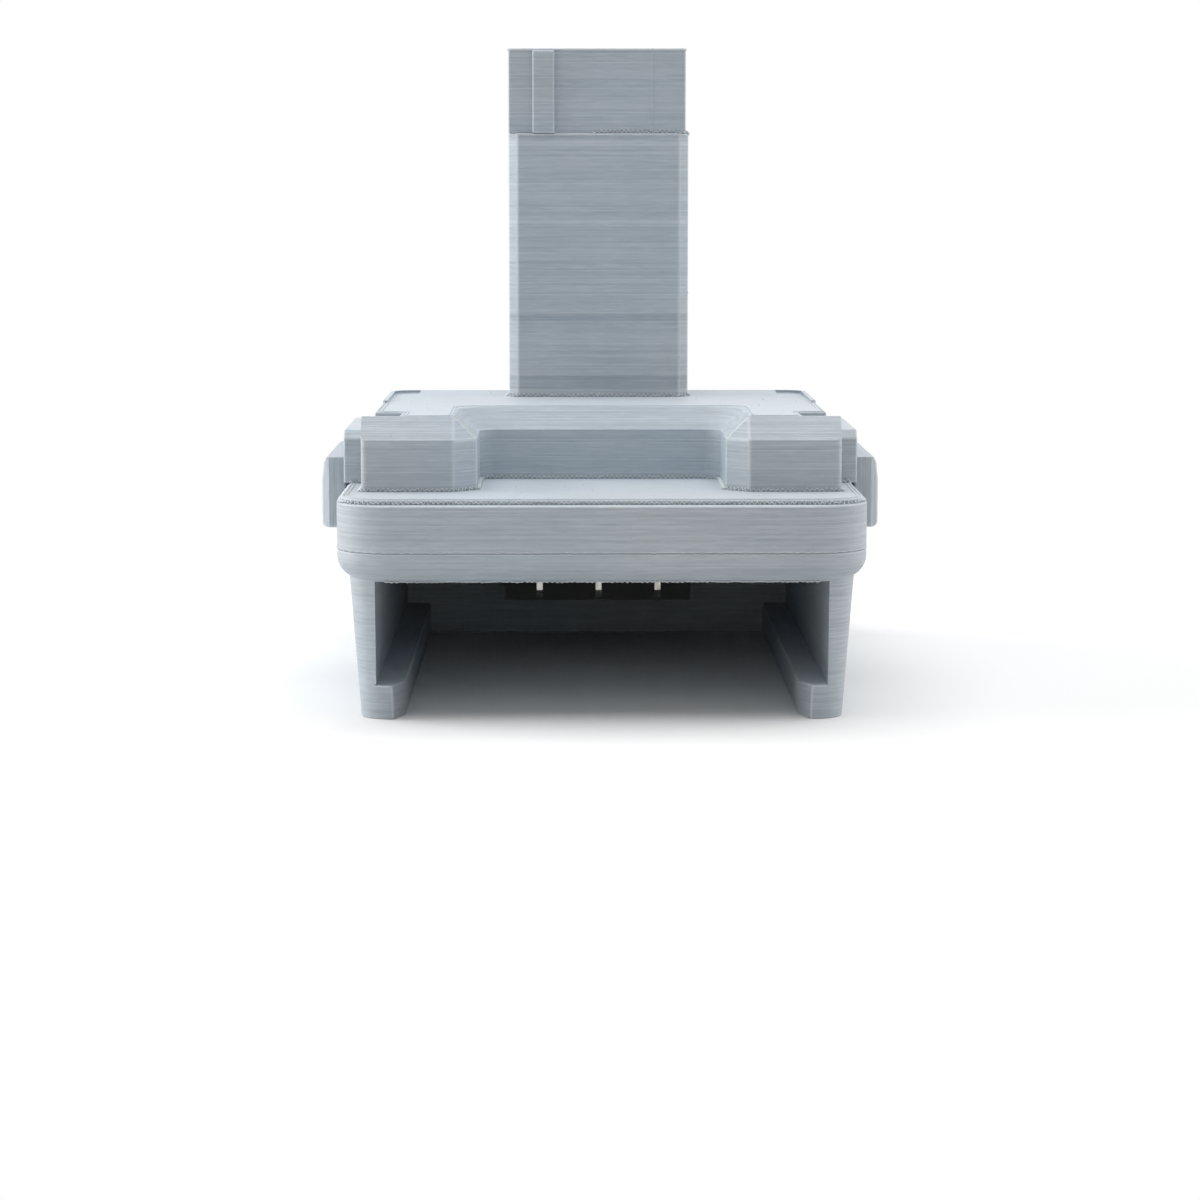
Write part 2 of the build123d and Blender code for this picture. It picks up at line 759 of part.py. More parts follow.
# Latch springs, each one unbroken wire between the pocket's wall and the latch's seat
spring_start = latch_pocket_inner_half + spring_wire_radius
spring_end = shoulder_inner + seat_depth - spring_wire_radius - spring_end_gap
spring_pitch = (spring_end - spring_start) / spring_turns
quarter = pi / 2
for name, side in sides.items():
    with BuildPart() as latch_spring:
        with BuildLine():
            for step in range(4 * spring_turns):
                draw_biarc(
                    *coil_point(step * quarter, side * spring_start, side * spring_pitch),
                    *coil_point((step + 1) * quarter, side * spring_start, side * spring_pitch),
                )
        start_point, start_direction = coil_point(0, side * spring_start, side * spring_pitch)
        with BuildSketch(Plane(origin=start_point, z_dir=start_direction)):
            Circle(spring_wire_radius)
        sweep()
    save(latch_spring.part, f"latch_spring_{name}")
    turn_gap = min(
        (coil_point(angle * quarter, 0, spring_pitch)[0] - coil_point(0, 0, spring_pitch)[0]).length
        for angle in range(2, 4 * spring_turns)
    )
    print(f"latch_spring_{name}: least gap between turns {turn_gap - 2 * spring_wire_radius:.2f} mm")

# Steel pins that the springs and latches run on
for name, side in sides.items():
    with BuildPart() as latch_pin:
        with BuildSketch(Plane.YZ.offset(side * (latch_pocket_inner_half - pin_anchor))):
            with Locations((spring_y, spring_z)):
                Circle(pin_radius)
        extrude(amount=side * (pin_anchor + spring_room + pin_lap))
        chamfer(latch_pin.faces().filter_by(Axis.X).edges(), pin_chamfer)
    save(latch_pin.part, f"latch_pin_{name}")

# Terminal block, moulded, with slots for its blades
blade_top = skirt_height - blade_drop
tail_front = block_depth_front + tail_inset
tail_top = seam_height + tail_rise
blade_places = {"positive": -blade_spacing, "sense": 0, "negative": blade_spacing}
with BuildPart() as terminal_block:
    with BuildSketch(Plane.XY.offset(skirt_height)):
        rectangle_between(-block_ear_half_width, block_ear_half_width, block_depth_front, block_rear)
    extrude(amount=-block_ear_thickness)
    with BuildSketch(Plane.XY.offset(skirt_height)):
        rectangle_between(-block_body_half_width, block_body_half_width, block_depth_front, block_rear)
    extrude(amount=-block_height)
    with BuildSketch(Plane.XY.offset(skirt_height)):
        rectangle_between(-block_neck_half_width, block_neck_half_width, neck_front, neck_rear)
    extrude(amount=block_neck_rise)
    with BuildSketch(Plane.XY.offset(blade_top)):
        for place in blade_places.values():
            rectangle_between(
                place - blade_thickness / 2,
                place + blade_thickness / 2,
                block_depth_front,
                block_depth_front + blade_root,
            )
    extrude(amount=-blade_height, mode=Mode.SUBTRACT)
    with BuildSketch(Plane.XY.offset(blade_top)):
        for place in blade_places.values():
            rectangle_between(
                place - blade_thickness / 2,
                place + blade_thickness / 2,
                tail_front,
                tail_front + tail_length,
            )
    extrude(amount=block_neck_rise + blade_drop, mode=Mode.SUBTRACT)
    with BuildSketch(Plane.XY.offset(skirt_height)):
        with Locations(*ear_screw_places):
            Circle(ear_screw_radius + press_clearance)
    extrude(amount=-block_ear_thickness, mode=Mode.SUBTRACT)
save(terminal_block.part, "terminal_block")

# Blades that reach forward into the pack's slots, each with a tail up through the block
for pole, place in blade_places.items():
    with BuildPart() as blade:
        with BuildSketch(Plane.YZ.offset(place)):
            nose = block_depth_front - blade_reach
            with BuildLine():
                Polyline(
                    (back(block_depth_front + blade_root), blade_top - blade_height),
                    (back(nose + blade_nose), blade_top - blade_height),
                    (back(nose), blade_top - blade_height + blade_nose),
                    (back(nose), blade_top - blade_nose),
                    (back(nose + blade_nose), blade_top),
                    (back(tail_front), blade_top),
                    (back(tail_front), tail_top),
                    (back(tail_front + tail_length), tail_top),
                    (back(tail_front + tail_length), blade_top),
                    (back(block_depth_front + blade_root), blade_top),
                    close=True,
                )
            make_face()
        extrude(amount=blade_thickness / 2, both=True)
    save(blade.part, f"blade_{pole}")

with BuildPart() as block_screws:
    ear_underside = skirt_height - block_ear_thickness
    with BuildSketch(Plane.XY.offset(ear_underside)):
        with Locations(*ear_screw_places):
            Circle(ear_screw_radius)
    extrude(amount=ear_screw_length)
    with BuildSketch(Plane.XY.offset(ear_underside)):
        with Locations(*ear_screw_places):
            Circle(ear_screw_head_radius)
    extrude(amount=-ear_screw_head_height)
    with BuildSketch(Plane.XY.offset(ear_underside - ear_screw_head_height)):
        with Locations(*ear_screw_places):
            Rectangle(ear_screw_head_radius, screw_slot_width)
            Rectangle(screw_slot_width, ear_screw_head_radius)
    extrude(amount=ear_screw_head_height * screw_slot_depth_share, mode=Mode.SUBTRACT)
save(block_screws.part, "block_screws")

# Screws and threaded inserts that hold the two halves together
with BuildPart() as body_screws:
    screw_seat = skirt_height + screw_head_height
    with BuildSketch(Plane.XY.offset(screw_seat)):
        with Locations(*screw_places):
            Circle(screw_radius)
    extrude(amount=screw_length)
    with BuildSketch(Plane.XY.offset(screw_seat)):
        with Locations(*screw_places):
            Circle(screw_head_radius)
    extrude(amount=-screw_head_height)
    with BuildSketch(Plane.XY.offset(skirt_height)):
        with Locations(*screw_places):
            RegularPolygon(socket_radius, 6)
    extrude(amount=screw_head_height * socket_depth_share, mode=Mode.SUBTRACT)
save(body_screws.part, "body_screws")

with BuildPart() as threaded_inserts:
    with BuildSketch(Plane.XY.offset(seam_height)):
        with Locations(*screw_places):
            Circle(insert_radius)
            Circle(screw_radius + press_clearance, mode=Mode.SUBTRACT)
    extrude(amount=insert_length)
    with BuildSketch(Plane.XY.offset(seam_height + (insert_length - insert_groove_length) / 2)):
        with Locations(*screw_places):
            Circle(insert_radius)
            Circle(insert_radius - insert_groove, mode=Mode.SUBTRACT)
    extrude(amount=insert_groove_length, mode=Mode.SUBTRACT)
save(threaded_inserts.part, "threaded_inserts")

# Insulated wires from the blades' tails up to the contacts, and the sleeves over their joints
tail_y = mid(tail_front, tail_front + tail_length)
sleeve_bore = wire_radius + sleeve_gap
for pole, side in contact_sides.items():
    start = Vector(side * blade_spacing, tail_y, tail_top + wire_tail_gap)
    end = Vector(side * contact_spacing / 2, back(tail_depth), tail_bottom - wire_tail_gap)
    rise = end.Z - start.Z
    drift = end.X - start.X
    route = [start, Vector(start.X, start.Y, start.Z + wire_lead)]
    for rise_share, lean_share, drift_share in zip(wire_rise_shares, wire_lean_shares, wire_drift_shares):
        step = Vector(drift * drift_share, -wire_lean * lean_share, rise * rise_share)
        route.append(start + step)
    route += [Vector(end.X, end.Y, end.Z - wire_lead), end]
    bends = []
    for before, corner, after in zip(route, route[1:], route[2:]):
        turn = (corner - before).get_angle(after - corner)
        shorter = min((corner - before).length, (after - corner).length)
        bends.append(wire_bend_share * shorter / sin(turn * pi / 360) * cos(turn * pi / 360))
    with BuildPart() as wire:
        with BuildLine() as wire_line:
            FilletPolyline(*route, radius=bends)
        with BuildSketch(Plane(origin=start, z_dir=(0, 0, 1))):
            Circle(wire_radius)
        sweep()
    save(wire.part, f"wire_{pole}")
    wire_length = wire_line.wire().length
    filled_share = wire.part.volume / (pi * wire_radius**2 * wire_length)
    radii = [round(bend, 1) for bend in bends]
    print(f"wire_{pole}: length {wire_length:.1f} mm, bend radii {radii} mm")
    print(f"wire_{pole}: volume over section times length {filled_share:.4f}")

solder_joints = {
    "solder_sleeves_lower": (blade_spacing, tail_y, tail_top),
    "solder_sleeves_upper": (contact_spacing / 2, back(tail_depth), tail_bottom),
}
for name, (joint_x, joint_y, joint_z) in solder_joints.items():
    with BuildPart() as sleeves:
        with BuildSketch(Plane.XY.offset(joint_z - sleeve_overlap)):
            with Locations(*[(side * joint_x, joint_y) for side in sides.values()]):
                Circle(sleeve_bore + sleeve_wall)
                Circle(sleeve_bore, mode=Mode.SUBTRACT)
        extrude(amount=2 * sleeve_overlap)
    save(sleeves.part, name)
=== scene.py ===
"""Studio scene of a printed adapter that stands between a tool's stem socket and a slide battery pack.

Lengths are in metres. X is to the right, Y runs from the end where the pack slides in to the back, Z is up.
"""

import logging
import math
from dataclasses import dataclass, field
from enum import Enum
from typing import Sequence

import bmesh
import bpy
from mathutils import Matrix, Vector


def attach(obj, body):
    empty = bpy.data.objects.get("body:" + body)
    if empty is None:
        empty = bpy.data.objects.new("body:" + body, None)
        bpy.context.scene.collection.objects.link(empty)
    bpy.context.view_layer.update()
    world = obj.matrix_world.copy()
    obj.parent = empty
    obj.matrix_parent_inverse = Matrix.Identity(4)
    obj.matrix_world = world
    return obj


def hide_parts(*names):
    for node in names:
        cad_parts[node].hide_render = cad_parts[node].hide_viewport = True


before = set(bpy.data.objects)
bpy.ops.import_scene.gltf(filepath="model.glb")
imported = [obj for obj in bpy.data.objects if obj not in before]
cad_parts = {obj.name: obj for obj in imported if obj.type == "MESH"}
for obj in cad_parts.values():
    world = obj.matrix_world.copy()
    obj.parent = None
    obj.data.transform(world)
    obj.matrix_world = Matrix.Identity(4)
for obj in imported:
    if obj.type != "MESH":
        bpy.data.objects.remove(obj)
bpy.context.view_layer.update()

ROOT_BODY = "adapter"
EDGE_HIGHLIGHT = "rounded"
WHITE = (1.0, 1.0, 1.0)
BLACK = (0.0, 0.0, 0.0)
log = logging.getLogger("adapter")

Colour = tuple[float, float, float]
Point = tuple[float, float, float]
Shift = tuple[Vector, Vector]
Inputs = dict[str | int, object]


class Stack(Enum):
    """The way that the layers of a printed piece pile up, as the index of an axis."""

    UPRIGHT = 2
    SIDEWAYS = 0


class Wire:
    """One value in a node tree. Arithmetic on it adds Math nodes."""

    def __init__(self, graph: "Graph", socket: bpy.types.NodeSocket) -> None:
        """Keeps the socket that gives the value.

        Args:
            graph: The node tree that holds the socket.
            socket: The output socket.
        """
        self.graph = graph
        self.socket = socket

    def sibling(self, name: str) -> "Wire":
        """Returns another output of the same node."""
        return Wire(self.graph, self.socket.node.outputs[name])

    def _math(self, operation: str, *operands: "Wire | float") -> "Wire":
        """Adds a Math node.

        Args:
            operation: The node's operation.
            operands: Its inputs in order.

        Returns:
            The result.
        """
        return self.graph.add("ShaderNodeMath", {"operation": operation}, dict(enumerate(operands)))

    def __add__(self, other: "Wire | float") -> "Wire":
        """Returns the sum."""
        return self._math("ADD", self, other)

    def __radd__(self, other: float) -> "Wire":
        """Returns the sum."""
        return self._math("ADD", other, self)

    def __sub__(self, other: "Wire | float") -> "Wire":
        """Returns the difference."""
        return self._math("SUBTRACT", self, other)

    def __rsub__(self, other: float) -> "Wire":
        """Returns the difference the other way round."""
        return self._math("SUBTRACT", other, self)

    def __mul__(self, other: "Wire | float") -> "Wire":
        """Returns the product."""
        return self._math("MULTIPLY", self, other)

    def __rmul__(self, other: float) -> "Wire":
        """Returns the product."""
        return self._math("MULTIPLY", other, self)

    def __truediv__(self, other: "Wire | float") -> "Wire":
        """Returns the quotient."""
        return self._math("DIVIDE", self, other)

    def __rtruediv__(self, other: float) -> "Wire":
        """Returns the quotient the other way round."""
        return self._math("DIVIDE", other, self)

    def __pow__(self, other: "Wire | float") -> "Wire":
        """Returns the power."""
        return self._math("POWER", self, other)

    def __abs__(self) -> "Wire":
        """Returns the size without its sign."""
        return self._math("ABSOLUTE", self)

    def floor(self) -> "Wire":
        """Returns the whole number below."""
        return self._math("FLOOR", self)

    def fraction(self) -> "Wire":
        """Returns what is left over the whole number below."""
        return self._math("FRACT", self)

    def step(self, start: float, end: float) -> "Wire":
        """Returns 0 before start and 1 after end, and eases between them."""
        ends = {"Value": self, "From Min": start, "From Max": end}
        return self.graph.add("ShaderNodeMapRange", {"interpolation_type": "SMOOTHSTEP"}, ends)


class Graph:
    """A node tree under construction."""

    def __init__(self, tree: bpy.types.NodeTree) -> None:
        """Starts from an empty tree.

        Args:
            tree: The tree to fill.
        """
        self.tree = tree
        self.tree.nodes.clear()

    def fill(self, node: bpy.types.Node, inputs: Inputs) -> None:
        """Sets or links a node's inputs.

        Args:
            node: The node.
            inputs: Values or wires by the socket's name or number.
        """
        for key, value in inputs.items():
            socket = node.inputs[key]
            if isinstance(value, Wire):
                self.tree.links.new(value.socket, socket)
            elif isinstance(value, tuple) and socket.type == "RGBA":
                socket.default_value = (*value[:3], 1.0)
            else:
                socket.default_value = value

    def add(
        self,
        kind: str,
        settings: dict[str, object] | None = None,
        inputs: Inputs | None = None,
        output: str | int = 0,
    ) -> Wire:
        """Adds any node.

        Args:
            kind: The node's type.
            settings: Its own settings, set first.
            inputs: Values or wires by the socket's name or number.
            output: The output to return.

        Returns:
            The chosen output.
        """
        node = self.tree.nodes.new(kind)
        for key, value in (settings or {}).items():
            setattr(node, key, value)
        self.fill(node, inputs or {})
        return Wire(self, node.outputs[output])

    def close(self, kind: str, surface: Wire) -> None:
        """Adds the tree's output node, of the given type, and links the surface to it."""
        self.tree.links.new(surface.socket, self.tree.nodes.new(kind).inputs["Surface"])

    def seen(self) -> Wire:
        """Tells the rays that see the room from those that only light it.

        Returns:
            1 for rays from the camera, by reflection or through glass, and 0 for others.
        """
        camera = self.add("ShaderNodeLightPath", output="Is Camera Ray")
        glossy, clear = camera.sibling("Is Glossy Ray"), camera.sibling("Is Transmission Ray")
        return 1.0 - (1.0 - camera) * (1.0 - glossy) * (1.0 - clear)

    def vector(self, x: Wire | float, y: Wire | float, z: Wire | float) -> Wire:
        """Joins three values into a vector."""
        return self.add("ShaderNodeCombineXYZ", inputs={0: x, 1: y, 2: z})


class Shader(Graph):
    """A material under construction."""

    def __init__(self, name: str) -> None:
        """Starts a material with a Principled surface.

        Args:
            name: The material's name.
        """
        self.material = bpy.data.materials.new(name)
        self.material.use_nodes = True
        super().__init__(self.material.node_tree)
        self.surface = self.tree.nodes.new("ShaderNodeBsdfPrincipled")

    def place(self) -> tuple[Wire, Wire, Wire]:
        """Reads where the shaded point lies in the piece's own coordinates.

        Returns:
            Its X, Y and Z.
        """
        position = self.add("ShaderNodeTexCoord", output="Object")
        x = self.add("ShaderNodeSeparateXYZ", inputs={0: position})
        return x, x.sibling("Y"), x.sibling("Z")

    def facing(self) -> tuple[Wire, Wire, Wire]:
        """Reads which way the surface faces.

        Returns:
            The X, Y and Z of its direction.
        """
        normal = self.add("ShaderNodeNewGeometry", output="Normal")
        x = self.add("ShaderNodeSeparateXYZ", inputs={0: normal})
        return x, x.sibling("Y"), x.sibling("Z")

    def noise(self, where: Wire, scale: float, detail: float = 2.0, roughness: float = 0.5) -> Wire:
        """Returns smooth noise from 0 to 1, mostly near a half.

        Args:
            where: The vector to read it at.
            scale: Features per unit.
            detail: Finer octaves added.
            roughness: How strong the finer octaves are.

        Returns:
            The noise.
        """
        inputs = {"Vector": where, "Scale": scale, "Detail": detail, "Roughness": roughness}
        return self.add("ShaderNodeTexNoise", inputs=inputs, output="Fac")

    def random(self, where: Wire) -> Wire:
        """Returns a random value from 0 to 1 for each value of a vector."""
        return self.add("ShaderNodeTexWhiteNoise", {"noise_dimensions": "3D"}, {"Vector": where}, "Value")

    def blend(self, share: Wire | float, first: Wire | Colour, second: Wire | Colour) -> Wire:
        """Mixes two colours.

        Args:
            share: How much of the second shows, from 0 to 1.
            first: The colour at 0.
            second: The colour at 1.

        Returns:
            The mixed colour.
        """
        return self.add("ShaderNodeMix", {"data_type": "RGBA"}, {0: share, 6: first, 7: second}, 2)

    def bump(self, height: Wire, distance: float) -> Wire:
        """Returns a normal bent by a height.

        Args:
            height: The height, usually from 0 to 1.
            distance: How far a height of 1 stands out.

        Returns:
            The normal.
        """
        return self.add("ShaderNodeBump", inputs={"Height": height, "Distance": distance})

    def finish(self, inputs: Inputs, shown: Wire | None = None) -> bpy.types.Material:
        """Fills the surface's sockets and closes the material.

        Args:
            inputs: Values or wires of the Principled surface by the socket's name.
            shown: What the material shows, if that is more than its surface alone.

        Returns:
            The material.
        """
        self.fill(self.surface, inputs)
        self.close("ShaderNodeOutputMaterial", shown or Wire(self, self.surface.outputs[0]))
        return self.material


class GeometryTree(Graph):
    """A Geometry Nodes tree with named inputs, run once on a mesh."""

    def __init__(self, name: str, inputs: dict[str, str]) -> None:
        """Starts a tree with a geometry input and output.

        Args:
            name: The tree's name.
            inputs: The type of each other input by its name.
        """
        super().__init__(bpy.data.node_groups.new(name, "GeometryNodeTree"))
        self.tree.interface.new_socket("Geometry", in_out="OUTPUT", socket_type="NodeSocketGeometry")
        for key, kind in {"Geometry": "NodeSocketGeometry", **inputs}.items():
            self.tree.interface.new_socket(key, in_out="INPUT", socket_type=kind)
        self.entry = self.tree.nodes.new("NodeGroupInput")
        self.exit = self.tree.nodes.new("NodeGroupOutput")

    def given(self, name: str) -> Wire:
        """Returns one of the tree's inputs."""
        return Wire(self, self.entry.outputs[name])

    def finish(self, geometry: Wire) -> None:
        """Makes the geometry real, gives it the material and sends it out.

        Args:
            geometry: What the tree has made.
        """
        smooth = self.add("GeometryNodeSetShadeSmooth", inputs={"Geometry": geometry})
        real = self.add("GeometryNodeRealizeInstances", inputs={"Geometry": smooth})
        coat = {"Geometry": real, "Material": self.given("Material")}
        painted = self.add("GeometryNodeSetMaterial", inputs=coat)
        self.tree.links.new(painted.socket, self.exit.inputs[0])

    def grow(self, name: str, seed_mesh: bpy.types.Mesh, values: Inputs) -> bpy.types.Mesh:
        """Runs the tree on a mesh.

        Args:
            name: The new mesh's name.
            seed_mesh: The mesh that the tree starts from.
            values: The tree's inputs by name.

        Returns:
            The new mesh.
        """
        holder = bpy.data.objects.new(name, seed_mesh)
        bpy.context.scene.collection.objects.link(holder)
        modifier = holder.modifiers.new("grow", "NODES")
        modifier.node_group = self.tree
        for item in self.tree.interface.items_tree:
            if item.in_out == "INPUT" and item.name in values:
                modifier[item.identifier] = values[item.name]
        mesh = bpy.data.meshes.new_from_object(holder.evaluated_get(bpy.context.evaluated_depsgraph_get()))
        mesh.name = name
        bpy.data.objects.remove(holder)
        return mesh


# How narrow a groove is, and how far the noise moves from one layer or line of fill to the next
GROOVE_POWER = 3
STREAK_STEP = 3.7
DASH_STEP = 5.3
DASH_START = 9.0
FILL_STEP = 2.9


@dataclass(frozen=True)
class PrintedPlastic:
    """Satin plastic laid down in fine layers by a printer's nozzle.

    Its layers show as uneven lines round the walls, and its flat tops as slanting lines of fill. Rounded
    edges and beads are painted paler as a highlight, and flat faces are painted lighter as a highlight too. A
    share or a tone is how far a feature moves the brightness. A swing is how far it moves the roughness. A
    band has its middle's height, half of its own height and its change of tone.
    """

    name: str
    colour: Colour = (0.412, 0.508, 0.592)
    stack: Stack = Stack.UPRIGHT
    layer: float = 0.0002
    fill_line: float = 0.00042
    streak_length: float = 0.012
    dash_length: float = 0.0025
    patch: float = 0.018
    streak_share: float = 0.16
    dash_share: float = 0.10
    patch_share: float = 0.07
    groove_tone: float = 0.05
    fill_tone: float = 0.03
    top_highlight: float = 0.12
    contrast: float = 0.42
    layer_depth: float = 0.000022
    wall_relief: tuple[float, float, float, float] = (0.7, 0.55, 0.35, 0.25)
    top_relief: tuple[float, float] = (0.8, 0.4)
    level: tuple[float, float] = (0.90, 0.985)
    hue_ease: tuple[float, float] = (0.38, 0.62)
    band_core: float = 0.6
    cool_shift: Colour = (0.97, 1.0, 1.02)
    warm_shift: Colour = (1.05, 1.0, 0.965)
    # Painted highlight on rounded edges and beads: its pale colour, and how much of it shows.
    edge_highlight_colour: Colour = (0.66, 0.71, 0.735)
    edge_highlight_share: float = 0.42
    bands: tuple[tuple[float, float, float], ...] = ()
    roughness: float = 0.46
    dash_swing: float = 0.16
    streak_swing: float = 0.12
    refraction: float = 1.46

    def material(self) -> bpy.types.Material:
        """Builds the material.

        Returns:
            The material.
        """
        shader = Shader(self.name)
        across = shader.place()
        up = across[self.stack.value]
        first, second = [value for index, value in enumerate(across) if index != self.stack.value]
        flatness = abs(shader.facing()[self.stack.value])
        flat = flatness.step(*self.level)

        layer_number = (up / self.layer).floor()
        in_layer = (up / self.layer).fraction()
        groove = abs(in_layer * 2 - 1) ** GROOVE_POWER
        streak_row, dash_row = layer_number * STREAK_STEP, layer_number * DASH_STEP + DASH_START
        along = shader.vector(first / self.streak_length, second / self.streak_length, streak_row)
        streak = shader.noise(along, 1.0, detail=3.0, roughness=0.62)
        short = shader.vector(first / self.dash_length, second / self.dash_length, dash_row)
        dash = shader.noise(short, 1.0, detail=1.0)
        whole_layer = shader.random(shader.vector(layer_number, 0.0, 0.0))

        slant = (first + second) / (self.fill_line * math.sqrt(2))
        line_number = slant.floor()
        fill_groove = abs(slant.fraction() * 2 - 1) ** GROOVE_POWER
        run = (first - second) / self.streak_length
        fill_streak = shader.noise(shader.vector(run, line_number * FILL_STEP, 0.0), 1.0, roughness=0.6)

        position = shader.vector(*across)
        patch = shader.noise(position, 1 / self.patch)
        wall_tone = (
            (streak - 0.5) * (self.streak_share * 2)
            + (dash - 0.5) * (self.dash_share * 2)
            + (whole_layer - 0.5) * self.dash_share
            - groove * self.groove_tone
        )
        # Painted highlight: faces that lie flat across the layers are lifted lighter by a fixed tone, on top
        # of their lines of fill.
        top_tone = (fill_streak - 0.5) * self.dash_share - fill_groove * self.fill_tone + self.top_highlight
        for height, half, change in self.bands:
            inside = 1 - abs(up - height).step(half * self.band_core, half)
            wall_tone = wall_tone + inside * change
        tone = wall_tone + flat * (top_tone - wall_tone) + (patch - 0.5) * (self.patch_share * 2)

        cool = tuple(value * share for value, share in zip(self.colour, self.cool_shift))
        warm = tuple(value * share for value, share in zip(self.colour, self.warm_shift))
        hue = shader.noise(position, 0.5 / self.patch, detail=1.0).step(*self.hue_ease)
        base = shader.blend(hue, cool, warm)
        dark = shader.blend(self.contrast, base, BLACK)
        light = shader.blend(self.contrast, base, WHITE)
        toned = shader.blend((tone + 0.5).step(0.0, 1.0), dark, light)
        # Painted highlight: faces marked by the edge rounding, and the beads, are mixed towards a pale
        # colour. It stands in for light caught along the plastic's edges.
        rounded = shader.add("ShaderNodeAttribute", {"attribute_name": EDGE_HIGHLIGHT}, output="Fac")
        colour = shader.blend(rounded * self.edge_highlight_share, toned, self.edge_highlight_colour)

        crown, streak_rise, dash_rise, layer_rise = self.wall_relief
        wall_relief = (
            (1 - groove) * crown
            + streak * streak_rise
            + dash * dash_rise
            + whole_layer * layer_rise
        )
        top_crown, fill_rise = self.top_relief
        top_relief = (1 - fill_groove) * top_crown + fill_streak * fill_rise
        relief = wall_relief + flat * (top_relief - wall_relief)
        normal = shader.bump(relief, self.layer_depth)
        roughness = self.roughness + (dash - 0.5) * self.dash_swing + (streak - 0.5) * self.streak_swing
        look = {"Base Color": colour, "Roughness": roughness, "Normal": normal, "IOR": self.refraction}
        return shader.finish(look)


@dataclass(frozen=True)
class MouldedPlastic:
    """Glass-filled plastic out of an eroded mould: a fine even grain with faint flow marks."""

    name: str
    colour: Colour = (0.020, 0.021, 0.023)
    grain: float = 0.00035
    flow: float = 0.009
    grain_depth: float = 0.000012
    flow_lift: float = 1.9
    flow_share: float = 0.6
    grain_share: float = 0.4
    ease: tuple[float, float] = (0.35, 0.7)
    roughness: float = 0.52
    flow_swing: float = 0.14
    grain_swing: float = 0.10

    def material(self) -> bpy.types.Material:
        """Builds the material.

        Returns:
            The material.
        """
        shader = Shader(self.name)
        position = shader.vector(*shader.place())
        grain = shader.noise(position, 1 / self.grain, detail=3.0, roughness=0.6)
        flow = shader.noise(position, 1 / self.flow)
        lighter = tuple(value * self.flow_lift for value in self.colour)
        share = (flow * self.flow_share + grain * self.grain_share).step(*self.ease)
        colour = shader.blend(share, self.colour, lighter)
        normal = shader.bump(grain, self.grain_depth)
        roughness = self.roughness + (flow - 0.5) * self.flow_swing + (grain - 0.5) * self.grain_swing
        return shader.finish({"Base Color": colour, "Roughness": roughness, "Normal": normal})


@dataclass(frozen=True)
class Metal:
    """Bare or plated metal with drawn or rolled lines and dull patches.

    Its lines are given as features in a metre along X, Y and Z.
    """

    name: str
    colour: Colour
    tarnish: Colour
    lines: tuple[float, float, float]
    roughness: float = 0.28
    patches: float = 420.0
    tarnish_ease: tuple[float, float] = (0.46, 0.72)
    line_swing: float = 0.22
    patch_swing: float = 0.25
    line_depth: float = 0.000004

    def material(self) -> bpy.types.Material:
        """Builds the material.

        Returns:
            The material.
        """
        shader = Shader(self.name)
        x, y, z = shader.place()
        drawn = shader.vector(x * self.lines[0], y * self.lines[1], z * self.lines[2])
        line = shader.noise(drawn, 1.0, detail=3.0, roughness=0.6)
        position = shader.vector(x, y, z)
        patch = shader.noise(position, self.patches, detail=3.0, roughness=0.6)
        colour = shader.blend(patch.step(*self.tarnish_ease), self.colour, self.tarnish)
        roughness = self.roughness + (line - 0.5) * self.line_swing + (patch - 0.5) * self.patch_swing
        normal = shader.bump(line, self.line_depth)
        look = {"Base Color": colour, "Metallic": 1.0, "Roughness": roughness, "Normal": normal}
        return shader.finish(look)


@dataclass(frozen=True)
class Jacket:
    """Soft silicone jacket of a wire, or a shrunk sleeve: dusty, with a low sheen."""

    name: str
    colour: Colour
    roughness: float = 0.50
    dust: float = 0.12
    dust_grey: float = 0.35
    dust_scale: float = 900.0
    dust_ease: tuple[float, float] = (0.48, 0.75)
    dust_swing: float = 0.3
    skin_scale: float = 3000.0
    skin_depth: float = 0.000005

    def material(self) -> bpy.types.Material:
        """Builds the material.

        Returns:
            The material.
        """
        shader = Shader(self.name)
        position = shader.vector(*shader.place())
        dust = shader.noise(position, self.dust_scale, detail=4.0, roughness=0.65)
        pale = tuple(value + (self.dust_grey - value) * self.dust for value in self.colour)
        colour = shader.blend(dust.step(*self.dust_ease), self.colour, pale)
        roughness = self.roughness + (dust - 0.5) * self.dust_swing
        normal = shader.bump(shader.noise(position, self.skin_scale), self.skin_depth)
        return shader.finish({"Base Color": colour, "Roughness": roughness, "Normal": normal})


Finish = PrintedPlastic | MouldedPlastic | Metal | Jacket

# Bands across the post: a darker band at 46.7 mm; a darker band just above the deck, painted shade at the
# post's foot; a lighter band at 59.4 mm; and a lighter band just under the post's top, a painted highlight
# below its edge.
POST_BANDS = (
    (0.0467, 0.0006, -0.15),
    (0.0380, 0.0011, -0.13),
    (0.0594, 0.0003, 0.10),
    (0.0698, 0.0004, 0.13),
)
ALONG_Y = (3000.0, 250.0, 3000.0)
ALONG_Z = (3000.0, 3000.0, 250.0)
ALONG_X = (250.0, 3000.0, 3000.0)
ALL_ROUND = (1500.0, 1500.0, 1500.0)
PRINTED_BODY = PrintedPlastic("printed_body", bands=POST_BANDS)
PRINTED_LATCH = PrintedPlastic("printed_latch", stack=Stack.SIDEWAYS)
TERMINAL_PLASTIC = MouldedPlastic("moulded_block")
TINNED = Metal("blade_metal", (0.66, 0.64, 0.60), (0.50, 0.47, 0.42), ALONG_Y)
SPRING_BRASS = Metal("contact_metal", (0.80, 0.62, 0.33), (0.56, 0.38, 0.18), ALONG_Z)
DRAWN_WIRE = Metal("spring_steel", (0.58, 0.58, 0.59), (0.40, 0.39, 0.38), ALONG_Y)
